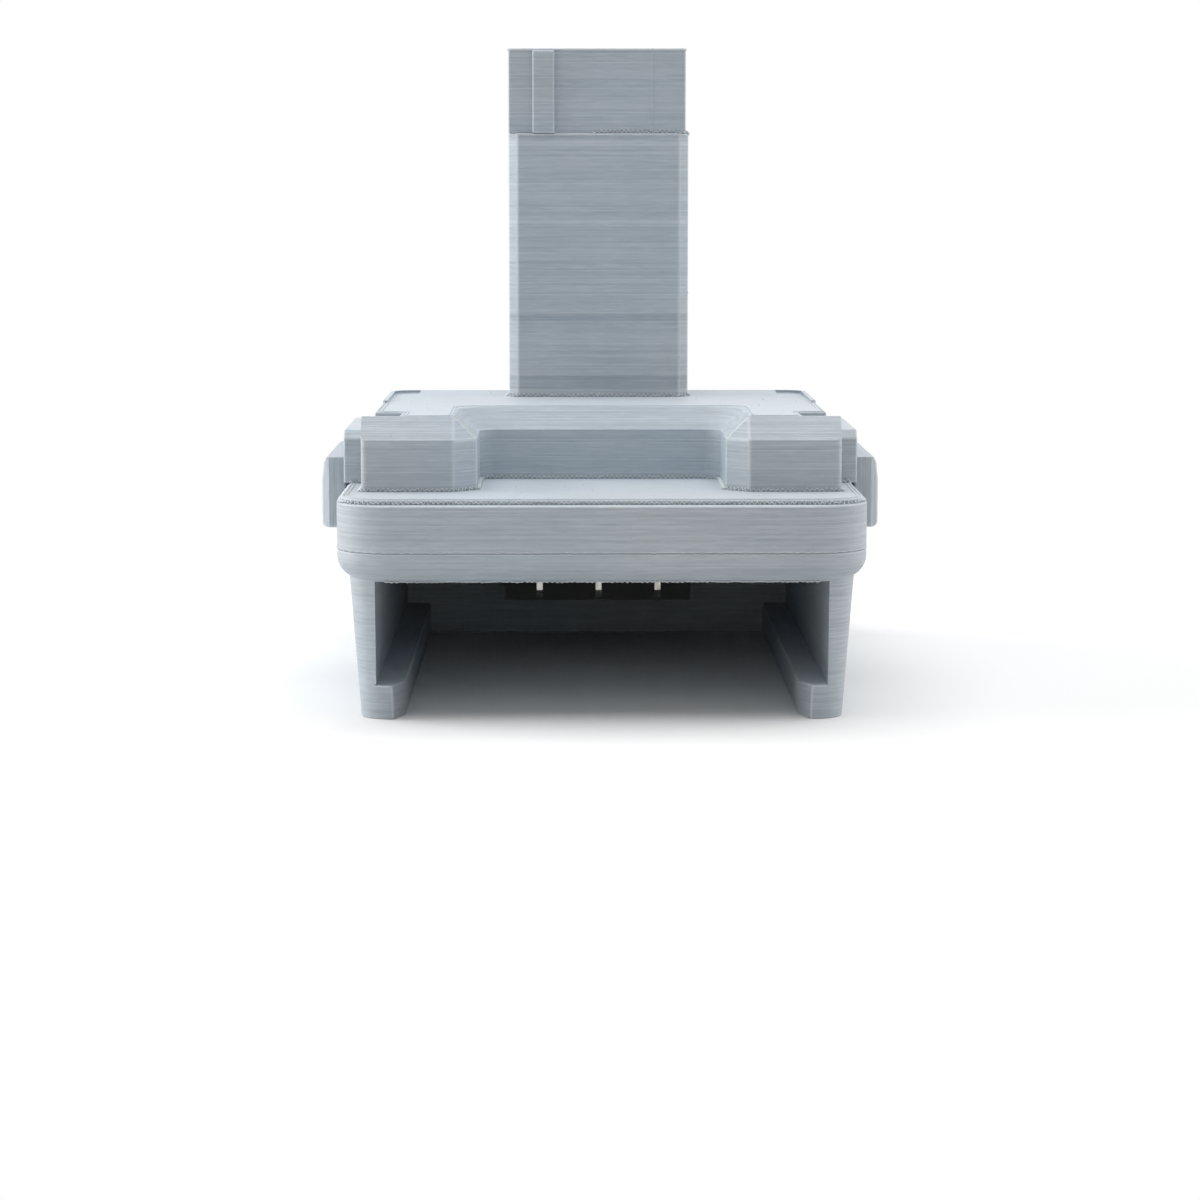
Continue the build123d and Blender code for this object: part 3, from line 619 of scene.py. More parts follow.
GROUND_PIN = Metal("pin_steel", (0.56, 0.56, 0.57), (0.44, 0.43, 0.42), ALONG_X)
ZINC_SCREW = Metal("screw_steel", (0.52, 0.53, 0.55), (0.38, 0.37, 0.36), ALL_ROUND, 0.33)
TURNED_BRASS = Metal("insert_brass", (0.78, 0.58, 0.28), (0.50, 0.34, 0.15), ALONG_Y)
RED_JACKET = Jacket("wire_red", (0.42, 0.012, 0.010))
BLACK_JACKET = Jacket("wire_black", (0.012, 0.012, 0.012))
SHRINK_SLEEVE = Jacket("sleeve_black", (0.015, 0.015, 0.016), 0.38)


@dataclass
class Workshop:
    """Shared means: made materials, and the adding of finished pieces."""

    materials: dict[str, bpy.types.Material] = field(default_factory=dict)

    def material(self, finish: Finish) -> bpy.types.Material:
        """Makes a finish's material, or finds it where it is made already.

        Args:
            finish: The finish.

        Returns:
            Its material.
        """
        if finish.name not in self.materials:
            self.materials[finish.name] = finish.material()
        return self.materials[finish.name]

    def paint(self, piece: bpy.types.Object, finish: Finish) -> None:
        """Gives a whole piece one finish."""
        piece.data.materials.clear()
        piece.data.materials.append(self.material(finish))

    def add(
        self, name: str, mesh: bpy.types.Mesh, body: str, slot: str, nodes: Sequence[str] = ()
    ) -> bpy.types.Object:
        """Adds a finished mesh to the scene as a piece of the adapter.

        Args:
            name: The piece's name.
            mesh: Its mesh, in place.
            body: The body that it moves with.
            slot: The material slot's name. Not used.
            nodes: The CAD nodes that it stands for.

        Returns:
            The piece.
        """
        piece = bpy.data.objects.new(name, mesh)
        bpy.context.scene.collection.objects.link(piece)
        if nodes:
            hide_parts(*nodes)
        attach(piece, body)
        log.info("%s: %d faces", name, len(mesh.polygons))
        return piece


@dataclass
class EdgeRound:
    """Softens the sharp edges of a CAD solid, as plastic from a nozzle has them.

    Weld and pick are distances on the enlarged copy. The least room and neighbour are shares of the width.
    The new round faces get a painted highlight share: full where they are steep, the level share where they
    are nearly flat.
    """

    width: float
    segments: int = 3
    least_angle: float = math.radians(28)
    least_corner: float = math.radians(14)
    least_room: float = 1.25
    least_neighbour: float = 1.6
    flat_angle: float = math.radians(0.7)
    weld: float = 0.001
    enlarge: float = 1000.0
    pick: float = 0.02
    steep: float = 0.8
    level_highlight: float = 0.2

    def _takes_a_round(self, edge: bmesh.types.BMEdge) -> bool:
        """Tells whether an edge is sharp and outward, and has room for the round on both sides.

        Args:
            edge: An edge of the enlarged copy.

        Returns:
            Whether it can be rounded.
        """
        if len(edge.link_faces) != 2 or not edge.is_convex or edge.calc_face_angle(0.0) < self.least_angle:
            return False
        neighbours = [other.calc_length() for vertex in edge.verts for other in vertex.link_edges]
        if min(neighbours) < self.width * self.enlarge * self.least_neighbour:
            return False
        start, end = (vertex.co for vertex in edge.verts)
        along = (end - start).normalized()
        for loop in edge.link_loops:
            reach = max(((vertex.co - start).cross(along)).length for vertex in loop.face.verts)
            if reach < self.width * self.enlarge * self.least_room:
                return False
            corners = (loop.calc_angle(), loop.link_loop_next.calc_angle())
            if min(corners) < self.least_corner:
                return False
        return True

    def soften(self, node: str, name: str, shifts: Sequence[Shift] = ()) -> bpy.types.Mesh:
        """Makes a copy of a CAD node with rounded edges.

        The work is done on an enlarged copy, because such small faces fall under Blender's tolerances.

        Args:
            node: The node to copy.
            name: The new mesh's name.
            shifts: Corners of the copy to move first, each with its old and its new place.

        Returns:
            The mesh, in place.
        """
        shape = bmesh.new()
        shape.from_mesh(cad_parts[node].data)
        shape.transform(Matrix.Scale(self.enlarge, 4))
        bmesh.ops.remove_doubles(shape, verts=shape.verts, dist=self.weld)
        bmesh.ops.dissolve_limit(shape, angle_limit=self.flat_angle, verts=shape.verts, edges=shape.edges)
        for old, new in shifts:
            for vertex in shape.verts:
                if (vertex.co - old * self.enlarge).length < self.pick:
                    vertex.co = new * self.enlarge
        bmesh.ops.remove_doubles(shape, verts=shape.verts, dist=self.weld)
        mark = shape.faces.layers.float.new(EDGE_HIGHLIGHT)
        edges = [edge for edge in shape.edges if self._takes_a_round(edge)]
        rounds = bmesh.ops.bevel(
            shape,
            geom=edges,
            offset=self.width * self.enlarge,
            offset_type="OFFSET",
            segments=self.segments,
            profile=0.5,
            affect="EDGES",
            clamp_overlap=False,
            loop_slide=False,
        )
        # Painted highlight share for each new round face: full on steep faces, the smaller level share on
        # nearly flat ones.
        for face in rounds["faces"]:
            face[mark] = 1.0 if face.normal.z < self.steep else self.level_highlight
        bmesh.ops.remove_doubles(shape, verts=shape.verts, dist=self.weld)
        bmesh.ops.triangulate(shape, faces=shape.faces[:])
        mesh = bpy.data.meshes.new(name)
        shape.to_mesh(mesh)
        shape.free()
        shade_by_area(mesh)
        mesh.transform(Matrix.Scale(1 / self.enlarge, 4))
        return mesh


def shade_by_area(mesh: bpy.types.Mesh, widest_turn: float = math.radians(32)) -> None:
    """Shades a mesh smooth over its small faces, with its large faces still flat.

    Args:
        mesh: The mesh.
        widest_turn: The largest angle between two faces that are shaded as one surface.
    """
    mesh.polygons.foreach_set("use_smooth", [True] * len(mesh.polygons))
    faces = [(face.normal.copy(), face.area, tuple(face.vertices)) for face in mesh.polygons]
    around = [[] for _ in mesh.vertices]
    for normal, area, corners in faces:
        for vertex in corners:
            around[vertex].append((normal, area))
    least = math.cos(widest_turn)
    shaded = []
    for normal, _, corners in faces:
        for vertex in corners:
            near = [other * area for other, area in around[vertex] if other.dot(normal) > least]
            shaded.append(sum(near, Vector((0.0, 0.0, 0.0))).normalized())
    mesh.normals_split_custom_set(shaded)


@dataclass(frozen=True)
class Lamp:
    """One soft rectangular lamp, pointed at the adapter's middle."""

    name: str
    place: Point
    size: tuple[float, float]
    power: float
    aim: Point = (0.0, 0.0, 0.035)

    def hang(self) -> None:
        """Adds the lamp to the scene."""
        data = bpy.data.lights.new(self.name, "AREA")
        data.shape = "RECTANGLE"
        data.size, data.size_y = self.size
        data.energy = self.power
        lamp = bpy.data.objects.new(self.name, data)
        lamp.location = self.place
        way = Vector(self.aim) - Vector(self.place)
        lamp.rotation_euler = way.to_track_quat("-Z", "Y").to_euler()
        bpy.context.scene.collection.objects.link(lamp)


LAMPS = (
    Lamp("overhead", place=(0.0, 0.02, 0.62), size=(0.7, 0.7), power=3.0),
    Lamp("left_side", place=(-0.62, 0.10, 0.22), size=(0.6, 0.5), power=3.7),
    Lamp("right_side", place=(0.62, 0.14, 0.22), size=(0.6, 0.5), power=1.9),
    Lamp("front", place=(-0.10, -0.95, 0.55), size=(0.6, 0.6), power=0.38),
)


@dataclass
class Studio:
    """Floor, lights and camera."""

    pixels: int = 1200
    focal_pixels: float = 3200.0
    sensor: float = 36.0
    eye: Point = (-0.00395, -0.426, 0.0644)
    pitch: float = math.radians(7.4)
    yaw: float = math.radians(0.55)
    floor_half: float = 3.0
    world_strength: float = 0.32
    floor_near: float = 0.07
    floor_far: float = 0.22
    floor_shade: float = 0.93
    floor_bounce: float = 0.70
    floor_roughness: float = 0.85
    nearest: float = 0.01
    farthest: float = 50.0

    def build(self) -> None:
        """Builds the whole studio."""
        self._camera()
        self._world()
        self._floor()
        for lamp in LAMPS:
            lamp.hang()
        bpy.context.scene.view_settings.view_transform = "Standard"

    def _camera(self) -> None:
        """Places the camera where the photographer stood."""
        data = bpy.data.cameras.new("camera")
        data.sensor_width = self.sensor
        data.lens = self.sensor * self.focal_pixels / self.pixels
        data.clip_start = self.nearest
        data.clip_end = self.farthest
        camera = bpy.data.objects.new("camera", data)
        camera.location = self.eye
        camera.rotation_euler = (math.pi / 2 - self.pitch, 0.0, -self.yaw)
        bpy.context.scene.collection.objects.link(camera)
        bpy.context.scene.camera = camera

    def _world(self) -> None:
        """Lights the room evenly and shows it white to the camera and in reflections."""
        world = bpy.data.worlds.new("room")
        world.use_nodes = True
        graph = Graph(world.node_tree)
        strength = self.world_strength + graph.seen() * (1.0 - self.world_strength)
        glow = graph.add("ShaderNodeBackground", inputs={"Color": WHITE, "Strength": strength})
        graph.close("ShaderNodeOutputWorld", glow)
        bpy.context.scene.world = world

    def _floor(self) -> None:
        """Lays a pale floor that keeps the adapter's shadow and turns plain white farther out."""
        mesh = bpy.data.meshes.new("floor")
        half = self.floor_half
        corners = [(-half, -half, 0.0), (half, -half, 0.0), (half, half, 0.0), (-half, half, 0.0)]
        mesh.from_pydata(corners, [], [(0, 1, 2, 3)])
        floor = bpy.data.objects.new("floor", mesh)
        bpy.context.scene.collection.objects.link(floor)
        shader = Shader("floor")
        seen = shader.seen()
        shown = shader.blend(seen, (self.floor_bounce,) * 3, (self.floor_shade,) * 3)
        x, y, _ = shader.place()
        distance = (x * x + y * y) ** 0.5
        share = distance.step(self.floor_near, self.floor_far) * seen
        white = shader.add("ShaderNodeEmission", inputs={"Color": WHITE, "Strength": 1.0})
        lit = Wire(shader, shader.surface.outputs[0])
        mixed = shader.add("ShaderNodeMixShader", inputs={0: share, 1: lit, 2: white})
        mesh.materials.append(shader.finish({"Base Color": shown, "Roughness": self.floor_roughness}, mixed))


@dataclass
class PrintedShells:
    """The printed pieces: two body halves, the contact head and the two latches."""

    body_round: float = 0.00022
    latch_round: float = 0.00035

    @staticmethod
    def _corner_shifts() -> list[Shift]:
        """Ends each block's corner cut in one point, so that its slanted face has three sides.

        Returns:
            The shifts of the corners.
        """
        inner, front = BODY.flank + BODY.chamfer, BODY.block_front + BODY.chamfer - BODY.half_length
        slant = BODY.chamfer * (math.sqrt(2) - 1)
        shifts = []
        for side in (-1, 1):
            point = Vector((side * inner, front, BODY.deck_top))
            shifts.append((Vector((side * inner, front + slant, BODY.deck_top)), point))
            shifts.append((Vector((side * (inner + slant), front, BODY.deck_top)), point))
        return shifts

    def build(self, shop: Workshop) -> None:
        """Builds each printed piece with softened edges.

        Args:
            shop: The means to make and add pieces.
        """
        for node in ("tool_side_body", "receiver", "contact_head"):
            shifts = self._corner_shifts() if node == "tool_side_body" else ()
            mesh = EdgeRound(self.body_round).soften(node, f"{node}_shell", shifts)
            piece = shop.add(f"{node}_shell", mesh, ROOT_BODY, "printed_body", [node])
            shop.paint(piece, PRINTED_BODY)
        for side in ("left", "right"):
            node = f"latch_{side}"
            mesh = EdgeRound(self.latch_round).soften(node, f"{node}_shell")
            piece = shop.add(f"{node}_shell", mesh, f"{side}_latch", "printed_latch", [node])
            shop.paint(piece, PRINTED_LATCH)


@dataclass(frozen=True)
class BodySizes:
    """Main sizes of the printed body. Depths count from the flange's front, heights from the floor."""

    half_length: float = 0.0460
    flange_half_width: float = 0.0322
    flange_corner: float = 0.0071
    flange_bottom: float = 0.0170
    flange_round: float = 0.0028
    seam: float = 0.0206
    flange_top: float = 0.0263
    plate_front: float = 0.0019
    plate_half_width: float = 0.0317
    plate_corner: float = 0.0052
    plate_top: float = 0.0269
    deck_top: float = 0.0360
    deck_half_width: float = 0.0284
    deck_rear: float = 0.0598
    deck_corner: float = 0.0030
    chamfer: float = 0.0028
    block_front: float = 0.0122
    block_half_width: float = 0.0296
    block_round: float = 0.0008
    flank: float = 0.0154
    recess_wall: float = 0.0300
    recess_corner: float = 0.0022
    notch_rear: float = 0.0220
    notch_half_gap: float = 0.0249
    step_front: float = 0.0240
    step_rear: float = 0.0460
    rear_deck_half_width: float = 0.0260
    rear_deck_end: float = 0.0860
    rear_deck_corner: float = 0.0040
    rear_deck_top: float = 0.0330
    post_front: float = 0.0517
    post_rear: float = 0.0787
    post_half_width: float = 0.01205
    post_edge: float = 0.0012
    post_top: float = 0.0712
    head_top: float = 0.0824
    head_setback: float = 0.0004
    latch_way_inner: float = 0.0289
    latch_way_front: float = 0.0264
    latch_way_rear: float = 0.0536


BODY = BodySizes()
SAME_PLACE = 1e-9
Corner = tuple[float, float, float]


@dataclass
class Track:
    """A level line that the nozzle followed, drawn as corners of X, depth and radius."""

    corners: Sequence[Corner]
    height: float
    closed: bool = False
    inset: float = 0.0
    arc_steps: int = 8
    spacing: float = 0.0008
    straight: float = math.radians(88)
    sharpest: float = 0.5

    def _corner_arc(self, before: Vector, corner: Vector, after: Vector, radius: float) -> list[Vector]:
        """Draws the points that take a line round one corner.

        Args:
            before: The corner before it.
            corner: The corner itself.
            after: The corner after it.
            radius: The arc's radius, or 0 to keep the corner sharp.

        Returns:
            The points in order.
        """
        back_way, on_way = (before - corner).normalized(), (after - corner).normalized()
        half = back_way.angle(on_way) / 2
        if radius <= 0 or half > self.straight:
            return [corner]
        centre = corner + (back_way + on_way).normalized() * (radius / math.sin(half))
        setback = radius / math.tan(half)
        first = (corner + back_way * setback - centre).normalized()
        last = (corner + on_way * setback - centre).normalized()
        shares = (step / self.arc_steps for step in range(self.arc_steps + 1))
        return [centre + first.slerp(last, share) * radius for share in shares]

    def _rounded(self) -> list[Vector]:
        """Rounds the line's corners.

        Returns:
            The line's points.
        """
        flat = [Vector((x, depth - BODY.half_length)) for x, depth, _ in self.corners]
        points = []
        for index, (corner, (_, _, radius)) in enumerate(zip(flat, self.corners)):
            at_end = not self.closed and index in (0, len(flat) - 1)
            if at_end:
                points.append(corner)
            else:
                after = flat[(index + 1) % len(flat)]
                points += self._corner_arc(flat[index - 1], corner, after, radius)
        return points

    def _moved_in(self, points: list[Vector]) -> list[Vector]:
        """Moves the points to the left of the line's way by the inset.

        Args:
            points: The line's points.

        Returns:
            The moved points.
        """
        moved = []
        for index, point in enumerate(points):
            before = points[index - 1] if self.closed or index else point
            after = points[(index + 1) % len(points)] if self.closed or index + 1 < len(points) else point
            ways = [way.normalized() for way in (point - before, after - point) if way.length > 0]
            normals = [Vector((-way.y, way.x)) for way in ways]
            middle = sum(normals, Vector((0.0, 0.0))).normalized()
            moved.append(point + middle * (self.inset / max(self.sharpest, middle.dot(normals[0]))))
        return moved

    def points(self) -> list[Vector]:
        """Finishes the line: its corners rounded, moved in by the inset, with points close together.

        Returns:
            The points, in place.
        """
        line = self._moved_in(self._rounded())
        if self.closed:
            line.append(line[0])
        finished = [line[0]]
        for start, end in zip(line, line[1:]):
            count = max(1, math.ceil((end - start).length / self.spacing))
            finished += [start.lerp(end, step / count) for step in range(1, count + 1)]
        return [Vector((point.x, point.y, self.height)) for point in finished]


def in_latch_way(point: Vector) -> bool:
    """Tells whether a point lies over the opening that a latch runs in."""
    depth = point.y + BODY.half_length
    return abs(point.x) > BODY.latch_way_inner and BODY.latch_way_front < depth < BODY.latch_way_rear


def draw_lines(name: str, lines: Sequence[Sequence[Vector]]) -> bpy.types.Mesh:
    """Makes a mesh of edges alone from lines of points, except where the latches run.

    Args:
        name: The mesh's name.
        lines: The lines.

    Returns:
        The mesh.
    """
    points, edges = [], []
    for line in lines:
        for start, end in zip(line, line[1:]):
            if in_latch_way((start + end) / 2):
                continue
            if not points or (points[-1] - start).length > SAME_PLACE:
                points.append(start)
            points.append(end)
            edges.append((len(points) - 2, len(points) - 1))
    mesh = bpy.data.meshes.new(name)
    mesh.from_pydata([tuple(point) for point in points], edges, [])
    return mesh


def both_sides(corners: Sequence[Corner]) -> list[list[Corner]]:
    """Returns a line of the right side and its like on the left, run the other way for the inset's sake."""
    return [list(corners), [(-x, depth, radius) for x, depth, radius in reversed(corners)]]


BEAD_SIDES = 6
DROP_ROUNDS = 2
SMALLEST_DROP = 0.45


def bead_tree() -> GeometryTree:
    """Builds the tree that lays a bead of plastic along each line, zigzag and uneven as asked.

    Returns:
        The tree.
    """
    names = ("Pitch", "Reach", "Rise", "Thickness", "Raggedness", "Highlight")
    sizes = {name: "NodeSocketFloat" for name in names}
    tree = GeometryTree("beads", {**sizes, "Seed": "NodeSocketInt", "Material": "NodeSocketMaterial"})
    curve = tree.add("GeometryNodeMeshToCurve", inputs={"Mesh": tree.given("Geometry")})
    half_pitch = tree.given("Pitch") * 0.5
    evened = tree.add("GeometryNodeResampleCurve", {"mode": "LENGTH"}, {"Curve": curve, "Length": half_pitch})
    index = tree.add("GeometryNodeInputIndex")
    swing = tree.add("ShaderNodeMath", {"operation": "MODULO"}, {0: index, 1: 2.0}) - 0.5
    chance = {2: -1.0, 3: 1.0, "ID": index, "Seed": tree.given("Seed")}
    uneven = tree.add("FunctionNodeRandomValue", {"data_type": "FLOAT"}, chance, 1)
    tangent = tree.add("GeometryNodeInputTangent")
    side = tree.add("ShaderNodeVectorMath", {"operation": "CROSS_PRODUCT"}, {0: tangent, 1: (0.0, 0.0, 1.0)})
    swing = swing + uneven * tree.given("Raggedness") * 0.5
    sideways = {0: side, "Scale": tree.given("Reach") * swing}
    sideways = tree.add("ShaderNodeVectorMath", {"operation": "SCALE"}, sideways)
    upward = tree.vector(0.0, 0.0, tree.given("Rise") * (0.5 - swing))
    offset = tree.add("ShaderNodeVectorMath", {"operation": "ADD"}, {0: sideways, 1: upward})
    zigzag = tree.add("GeometryNodeSetPosition", inputs={"Geometry": evened, "Offset": offset})
    size = uneven * tree.given("Raggedness") + 1.0
    sized = tree.add("GeometryNodeSetCurveRadius", inputs={"Curve": zigzag, "Radius": size})
    ring = tree.add(
        "GeometryNodeCurvePrimitiveCircle",
        {"mode": "RADIUS"},
        {"Resolution": BEAD_SIDES, "Radius": tree.given("Thickness") * 0.5},
    )
    swept = {"Curve": sized, "Profile Curve": ring, "Fill Caps": True}
    bead = tree.add("GeometryNodeCurveToMesh", inputs=swept)
    # Painted highlight: each bead's highlight share is stored where the plastic's edge highlight reads it, so
    # the beads show paler than their shade.
    mark = {"Geometry": bead, "Name": EDGE_HIGHLIGHT, "Value": tree.given("Highlight")}
    tree.finish(tree.add("GeometryNodeStoreNamedAttribute", {"data_type": "FLOAT", "domain": "FACE"}, mark))
    return tree


def pimple_tree() -> GeometryTree:
    """Builds the tree that scatters small drops of oozed plastic over a surface.

    Returns:
        The tree.
    """
    sizes = {"Density": "NodeSocketFloat", "Size": "NodeSocketFloat", "Seed": "NodeSocketInt"}
    tree = GeometryTree("pimples", {**sizes, "Material": "NodeSocketMaterial"})
    spread = {"Mesh": tree.given("Geometry"), "Density": tree.given("Density"), "Seed": tree.given("Seed")}
    points = tree.add("GeometryNodeDistributePointsOnFaces", {"distribute_method": "RANDOM"}, spread)
    ball = {"Radius": tree.given("Size"), "Subdivisions": DROP_ROUNDS}
    drop = tree.add("GeometryNodeMeshIcoSphere", inputs=ball)
    chance = {2: SMALLEST_DROP, 3: 1.0, "Seed": tree.given("Seed")}
    scale = tree.add("FunctionNodeRandomValue", {"data_type": "FLOAT"}, chance, 1)
    placed = {"Points": points, "Instance": drop, "Scale": scale}
    tree.finish(tree.add("GeometryNodeInstanceOnPoints", inputs=placed))
    return tree


@dataclass(frozen=True)
class BeadStyle:
    """The size and unevenness of a run of beads, and the painted highlight that lightens them."""

    pitch: float
    reach: float
    rise: float
    thickness: float
    raggedness: float
    bead_highlight: float
    seed: int

    def values(self, material: bpy.types.Material) -> Inputs:
        """Gives this style's sizes the names of the tree's inputs.

        Args:
            material: The material of the beads.

        Returns:
            The inputs.
        """
        return {
            "Pitch": self.pitch,
            "Reach": self.reach,
            "Rise": self.rise,
            "Thickness": self.thickness,
            "Raggedness": self.raggedness,
            "Highlight": self.bead_highlight,
            "Seed": self.seed,
            "Material": material,
        }


# The highlight share of each style is painted light. It lightens the beads against the shade between and
# under them.
ZIGZAG = BeadStyle(
    pitch=0.0006, reach=0.00038, rise=0.00034, thickness=0.0002, raggedness=0.6, bead_highlight=1.9, seed=3
)
PERIMETER = BeadStyle(
    pitch=0.0022, reach=0.00002, rise=0.0, thickness=0.00022, raggedness=0.10, bead_highlight=0.3, seed=5
)
SEAM_DASHES = BeadStyle(
    pitch=0.00115, reach=0.0002, rise=0.0001, thickness=0.0002, raggedness=0.45, bead_highlight=1.2, seed=7
)
HIP_LINE = BeadStyle(
    pitch=0.0012, reach=0.00003, rise=0.0, thickness=0.00015, raggedness=0.15, bead_highlight=2.3, seed=9
)
SCAR = BeadStyle(
    pitch=0.0006, reach=0.00014, rise=0.0001, thickness=0.00026, raggedness=0.85, bead_highlight=0.6, seed=11
)
LAYER_SEAM = BeadStyle(
    pitch=0.0004, reach=0.0, rise=0.0, thickness=0.00016, raggedness=0.45, bead_highlight=0.4, seed=13
)
RIM = BeadStyle(
    pitch=0.0016, reach=0.00004, rise=0.0, thickness=0.00028, raggedness=0.15, bead_highlight=2.0, seed=15
)


@dataclass
class NozzleMarks:
    """What the printer left on the body: ends of fill, outlines on the tops, seams, scars and drops."""

    outline_insets: tuple[float, float] = (0.00028, 0.00072)
    foot_gap: float = 0.00020
    foot_lift: float = 0.00005
    hip_lines: int = 6
    hip_start: float = 0.3
    hip_step: float = 0.0011
    head_seam: float = 0.0072
    block_seam_drop: float = 0.0042
    ledge_start: float = -0.0008
    seam_inset: float = 0.00007
    seam_lift: float = 0.0001
    scar_half: float = 0.0262
    scar_place: float = 0.72
    scar_sink: float = 0.00002
    rim_sink: float = 0.00019
    pimple_density: float = 14000.0
    pimple_size: float = 0.00010
    pimple_seed: int = 17

    @staticmethod
    def _plate() -> list[Corner]:
        """Draws the plate's outline.

        Returns:
            Its corners.
        """
        wide, corner = BODY.plate_half_width, BODY.plate_corner
        front, rear = BODY.plate_front, 2 * BODY.half_length - BODY.plate_front
        return [(-wide, front, corner), (wide, front, corner), (wide, rear, corner), (-wide, rear, corner)]

    @staticmethod
    def _flange(inset: float) -> list[Corner]:
        """Draws a line that runs inside the flange's outline.

        Args:
            inset: How far inside it runs.

        Returns:
            The line's corners.
        """
        wide, corner = BODY.flange_half_width - inset, BODY.flange_corner - inset
        front, rear = inset, 2 * BODY.half_length - inset
        return [(-wide, front, corner), (wide, front, corner), (wide, rear, corner), (-wide, rear, corner)]

    @staticmethod
    def _rear_deck(front: float) -> list[Corner]:
        """Returns the right half of the rear deck's outline."""
        wide, corner = BODY.rear_deck_half_width, BODY.rear_deck_corner
        return [(wide, front, 0.0), (wide, BODY.rear_deck_end, corner), (0.0, BODY.rear_deck_end, 0.0)]

    @staticmethod
    def _deck_foot() -> list[Corner]:
        """Draws the right half of the deck's foot, from the recess to the step block.

        Returns:
            The line's corners.
        """
        flank, chamfer = BODY.flank, BODY.chamfer
        return [
            (0.0, BODY.recess_wall, 0.0),
            (flank, BODY.recess_wall, BODY.recess_corner),
            (flank, BODY.block_front + chamfer, 0.0),
            (flank + chamfer, BODY.block_front, 0.0),
            (BODY.block_half_width, BODY.block_front, BODY.block_round),
            (BODY.block_half_width, BODY.notch_rear, 0.0),
            (BODY.deck_half_width, BODY.notch_rear, 0.0),
            (BODY.deck_half_width, BODY.step_front, 0.0),
            (BODY.plate_half_width, BODY.step_front, 0.0),
        ]

    @staticmethod
    def _deck_top() -> list[Corner]:
        """Draws the right half of the deck's flat top.

        Returns:
            The line's corners.
        """
        inner, front = BODY.flank + BODY.chamfer, BODY.block_front + BODY.chamfer
        return [
            (0.0, BODY.recess_wall + BODY.chamfer, 0.0),
            (inner, BODY.recess_wall + BODY.chamfer, BODY.recess_corner),
            (inner, front, 0.0),
            (BODY.notch_half_gap, front, 0.0),
            (BODY.notch_half_gap, BODY.notch_rear, 0.0),
            (BODY.deck_half_width, BODY.notch_rear, 0.0),
            (BODY.deck_half_width, BODY.deck_rear, BODY.deck_corner),
            (0.0, BODY.deck_rear, 0.0),
        ]

    @staticmethod
    def _post(front: float, rear: float) -> list[Corner]:
        """Draws the right half of the post's foot between two depths, with its cut-off corners.

        Args:
            front: The depth that it starts at.
            rear: The depth that it ends at.

        Returns:
            The line's corners.
        """
        wide, edge = BODY.post_half_width, BODY.post_edge
        line = [(wide, front, 0.0), (wide, rear, 0.0)]
        if front == BODY.post_front:
            line = [(0.0, front, 0.0), (wide - edge, front, 0.0), (wide, front + edge, 0.0), line[1]]
        if rear == BODY.post_rear:
            line = [line[0], (wide, rear - edge, 0.0), (wide - edge, rear, 0.0), (0.0, rear, 0.0)]
        return line

    def _feet(self) -> list[list[Vector]]:
        """Draws the lines where walls stand on flat tops.

        Returns:
            The lines.
        """
        gap = -self.foot_gap
        tracks = [Track(self._plate(), BODY.flange_top + self.foot_lift, True, gap)]
        deck_side = [(BODY.deck_half_width, depth, 0.0) for depth in (BODY.step_rear, BODY.deck_rear)]
        halves = [
            (self._deck_foot(), BODY.plate_top),
            (deck_side, BODY.plate_top),
            (self._rear_deck(BODY.deck_rear), BODY.plate_top),
            (self._post(BODY.post_front, BODY.deck_rear), BODY.deck_top),
            (self._post(BODY.deck_rear, BODY.post_rear), BODY.rear_deck_top),
        ]
        for corners, height in halves:
            tracks += [Track(side, height + self.foot_lift, inset=gap) for side in both_sides(corners)]
        return [track.points() for track in tracks]

    def _outlines(self) -> list[list[Vector]]:
        """Draws the nozzle's outlines on the flat tops, parallel to their edges.

        Returns:
            The lines.
        """
        decks = (
            (self._deck_top(), BODY.deck_top),
            (self._rear_deck(BODY.deck_rear), BODY.rear_deck_top),
        )
        lines = []
        for inset in self.outline_insets:
            lines.append(Track(self._plate(), BODY.plate_top, True, inset).points())
            for corners, height in decks:
                lines += [Track(side, height, inset=inset).points() for side in both_sides(corners)]
        return lines

    def _hips(self) -> list[list[Vector]]:
        """Draws the lines on each flank's slope, along its edge to the block's slanted corner face.

        Returns:
            The lines.
        """
        front = BODY.block_front + BODY.chamfer - BODY.half_length
        lines = []
        for side in (-1, 1):
            for number in range(self.hip_lines):
                depth = front + (number + self.hip_start) * self.hip_step
                foot = Vector((side * BODY.flank, depth, BODY.deck_top - BODY.chamfer))
                top = Vector((side * (BODY.flank + BODY.chamfer), depth, BODY.deck_top))
                lines.append([foot, foot.lerp(top, 0.5), top])
        return lines

    def _rims(self) -> list[list[Vector]]:
        """Draws the lines along the last layer of the post and of the head, which bulge a little.

        Returns:
            The lines.
        """
        wide, edge = BODY.post_half_width, BODY.post_edge
        head_wide, head_front = wide - BODY.head_setback, BODY.post_front + BODY.head_setback
        post = [
            (-wide + edge, BODY.post_front, 0.0),
            (wide - edge, BODY.post_front, 0.0),
            (wide, BODY.post_front + edge, 0.0),
            (wide, BODY.post_rear, 0.0),
        ]
        head = [
            (-wide, BODY.post_rear, 0.0),
            (-wide, head_front, 0.0),
            (head_wide, head_front, 0.0),
            (head_wide, BODY.post_rear, 0.0),
        ]
        tracks = (Track(post, BODY.post_top - self.rim_sink), Track(head, BODY.head_top - self.rim_sink))
        return [track.points() for track in tracks]

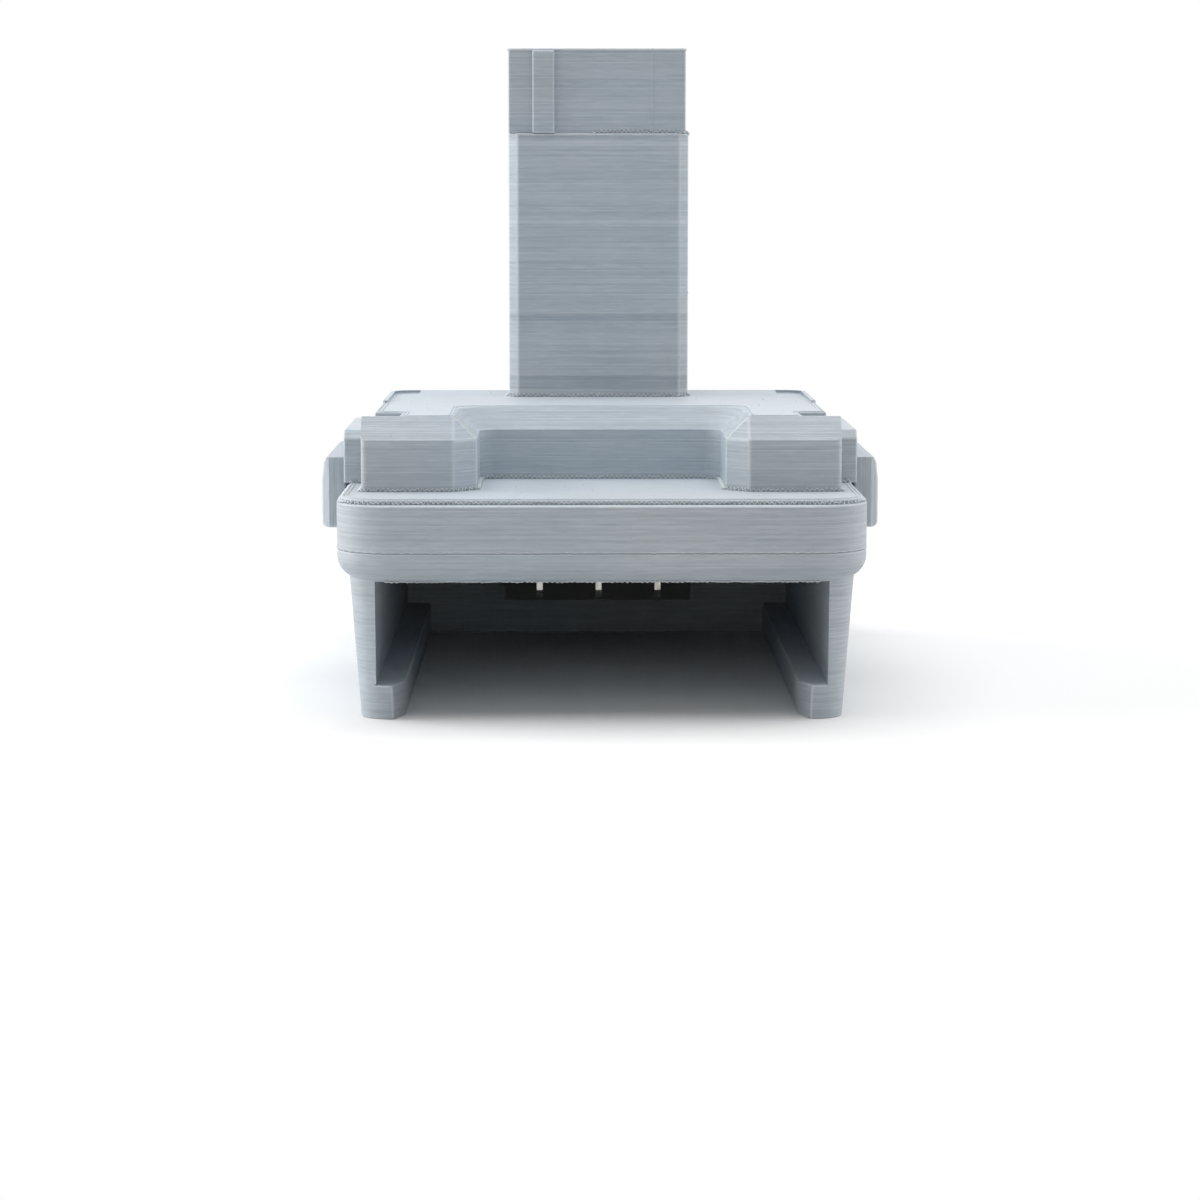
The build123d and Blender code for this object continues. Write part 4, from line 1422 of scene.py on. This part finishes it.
    def _layer_seams(self) -> list[list[Vector]]:
        """Draws the upright lines where the nozzle started its layers.

        Returns:
            The lines.
        """
        head_front = BODY.post_front + BODY.head_setback - BODY.half_length
        post_rear = BODY.post_rear - BODY.half_length
        block_rear = BODY.notch_rear - BODY.half_length
        block_top = BODY.deck_top - self.block_seam_drop
        places = [
            (self.head_seam, head_front, BODY.post_top, BODY.head_top),
            (-BODY.post_half_width + BODY.post_edge, post_rear, BODY.rear_deck_top, BODY.post_top),
            (BODY.block_half_width, block_rear, BODY.plate_top, block_top),
        ]
        return [[Vector((x, y, low)), Vector((x, y, high))] for x, y, low, high in places]

    def build(self, shop: Workshop) -> None:
        """Builds each kind of mark as one piece.

        Args:
            shop: The means to make and add pieces.
        """
        ledge_depth = BODY.post_front + BODY.head_setback / 2
        ledge_side = BODY.post_half_width - BODY.head_setback / 2
        ledge = [
            (self.ledge_start, ledge_depth, 0.0),
            (ledge_side, ledge_depth, 0.0),
            (ledge_side, BODY.post_rear, 0.0),
        ]
        scar = [(side * self.scar_half, BODY.flange_round * self.scar_place, 0.0) for side in (-1, 1)]
        scars = Track(scar, BODY.flange_bottom - self.scar_sink)
        seam = Track(self._flange(self.seam_inset), BODY.seam + self.seam_lift, True)
        runs = {
            "foot_serrations": (self._feet() + [Track(ledge, BODY.post_top).points()], ZIGZAG),
            "top_outlines": (self._outlines(), PERIMETER),
            "seam_dashes": ([seam.points()], SEAM_DASHES),
            "hip_lines": (self._hips(), HIP_LINE),
            "rim_lines": (self._rims(), RIM),
            "support_scars": ([scars.points()], SCAR),
            "layer_seams": (self._layer_seams(), LAYER_SEAM),
        }
        tree = bead_tree()
        material = shop.material(PRINTED_BODY)
        for name, (lines, style) in runs.items():
            mesh = tree.grow(name, draw_lines(name, lines), style.values(material))
            shop.add(name, mesh, ROOT_BODY, "printed_body")
        values = {
            "Density": self.pimple_density,
            "Size": self.pimple_size,
            "Seed": self.pimple_seed,
            "Material": material,
        }
        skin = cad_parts["tool_side_body"].data.copy()
        drops = pimple_tree().grow("ooze_drops", skin, values)
        shop.add("ooze_drops", drops, ROOT_BODY, "printed_body")


@dataclass
class MetalAndMoulded:
    """Terminal block, blades, contacts, fasteners, springs and wires."""

    def build(self, shop: Workshop) -> None:
        """Dresses every node that keeps its CAD shape.

        Args:
            shop: The means to make the materials.
        """
        kept = {
            "latch_spring_left": DRAWN_WIRE,
            "latch_spring_right": DRAWN_WIRE,
            "latch_pin_left": GROUND_PIN,
            "latch_pin_right": GROUND_PIN,
            "threaded_inserts": TURNED_BRASS,
            "wire_positive": RED_JACKET,
            "wire_negative": BLACK_JACKET,
            "solder_sleeves_lower": SHRINK_SLEEVE,
            "solder_sleeves_upper": SHRINK_SLEEVE,
            "blade_positive": TINNED,
            "blade_sense": TINNED,
            "blade_negative": TINNED,
            "contact_positive": SPRING_BRASS,
            "contact_negative": SPRING_BRASS,
            "body_screws": ZINC_SCREW,
            "block_screws": ZINC_SCREW,
            "head_screws": ZINC_SCREW,
            "contact_screws": ZINC_SCREW,
            "terminal_block": TERMINAL_PLASTIC,
        }
        for node, finish in kept.items():
            shop.paint(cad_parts[node], finish)


def main() -> None:
    """Builds the scene."""
    logging.basicConfig(level=logging.INFO, format="%(message)s")
    Studio().build()
    shop = Workshop()
    PrintedShells().build(shop)
    NozzleMarks().build(shop)
    MetalAndMoulded().build(shop)


if __name__ == "__main__":
    main()
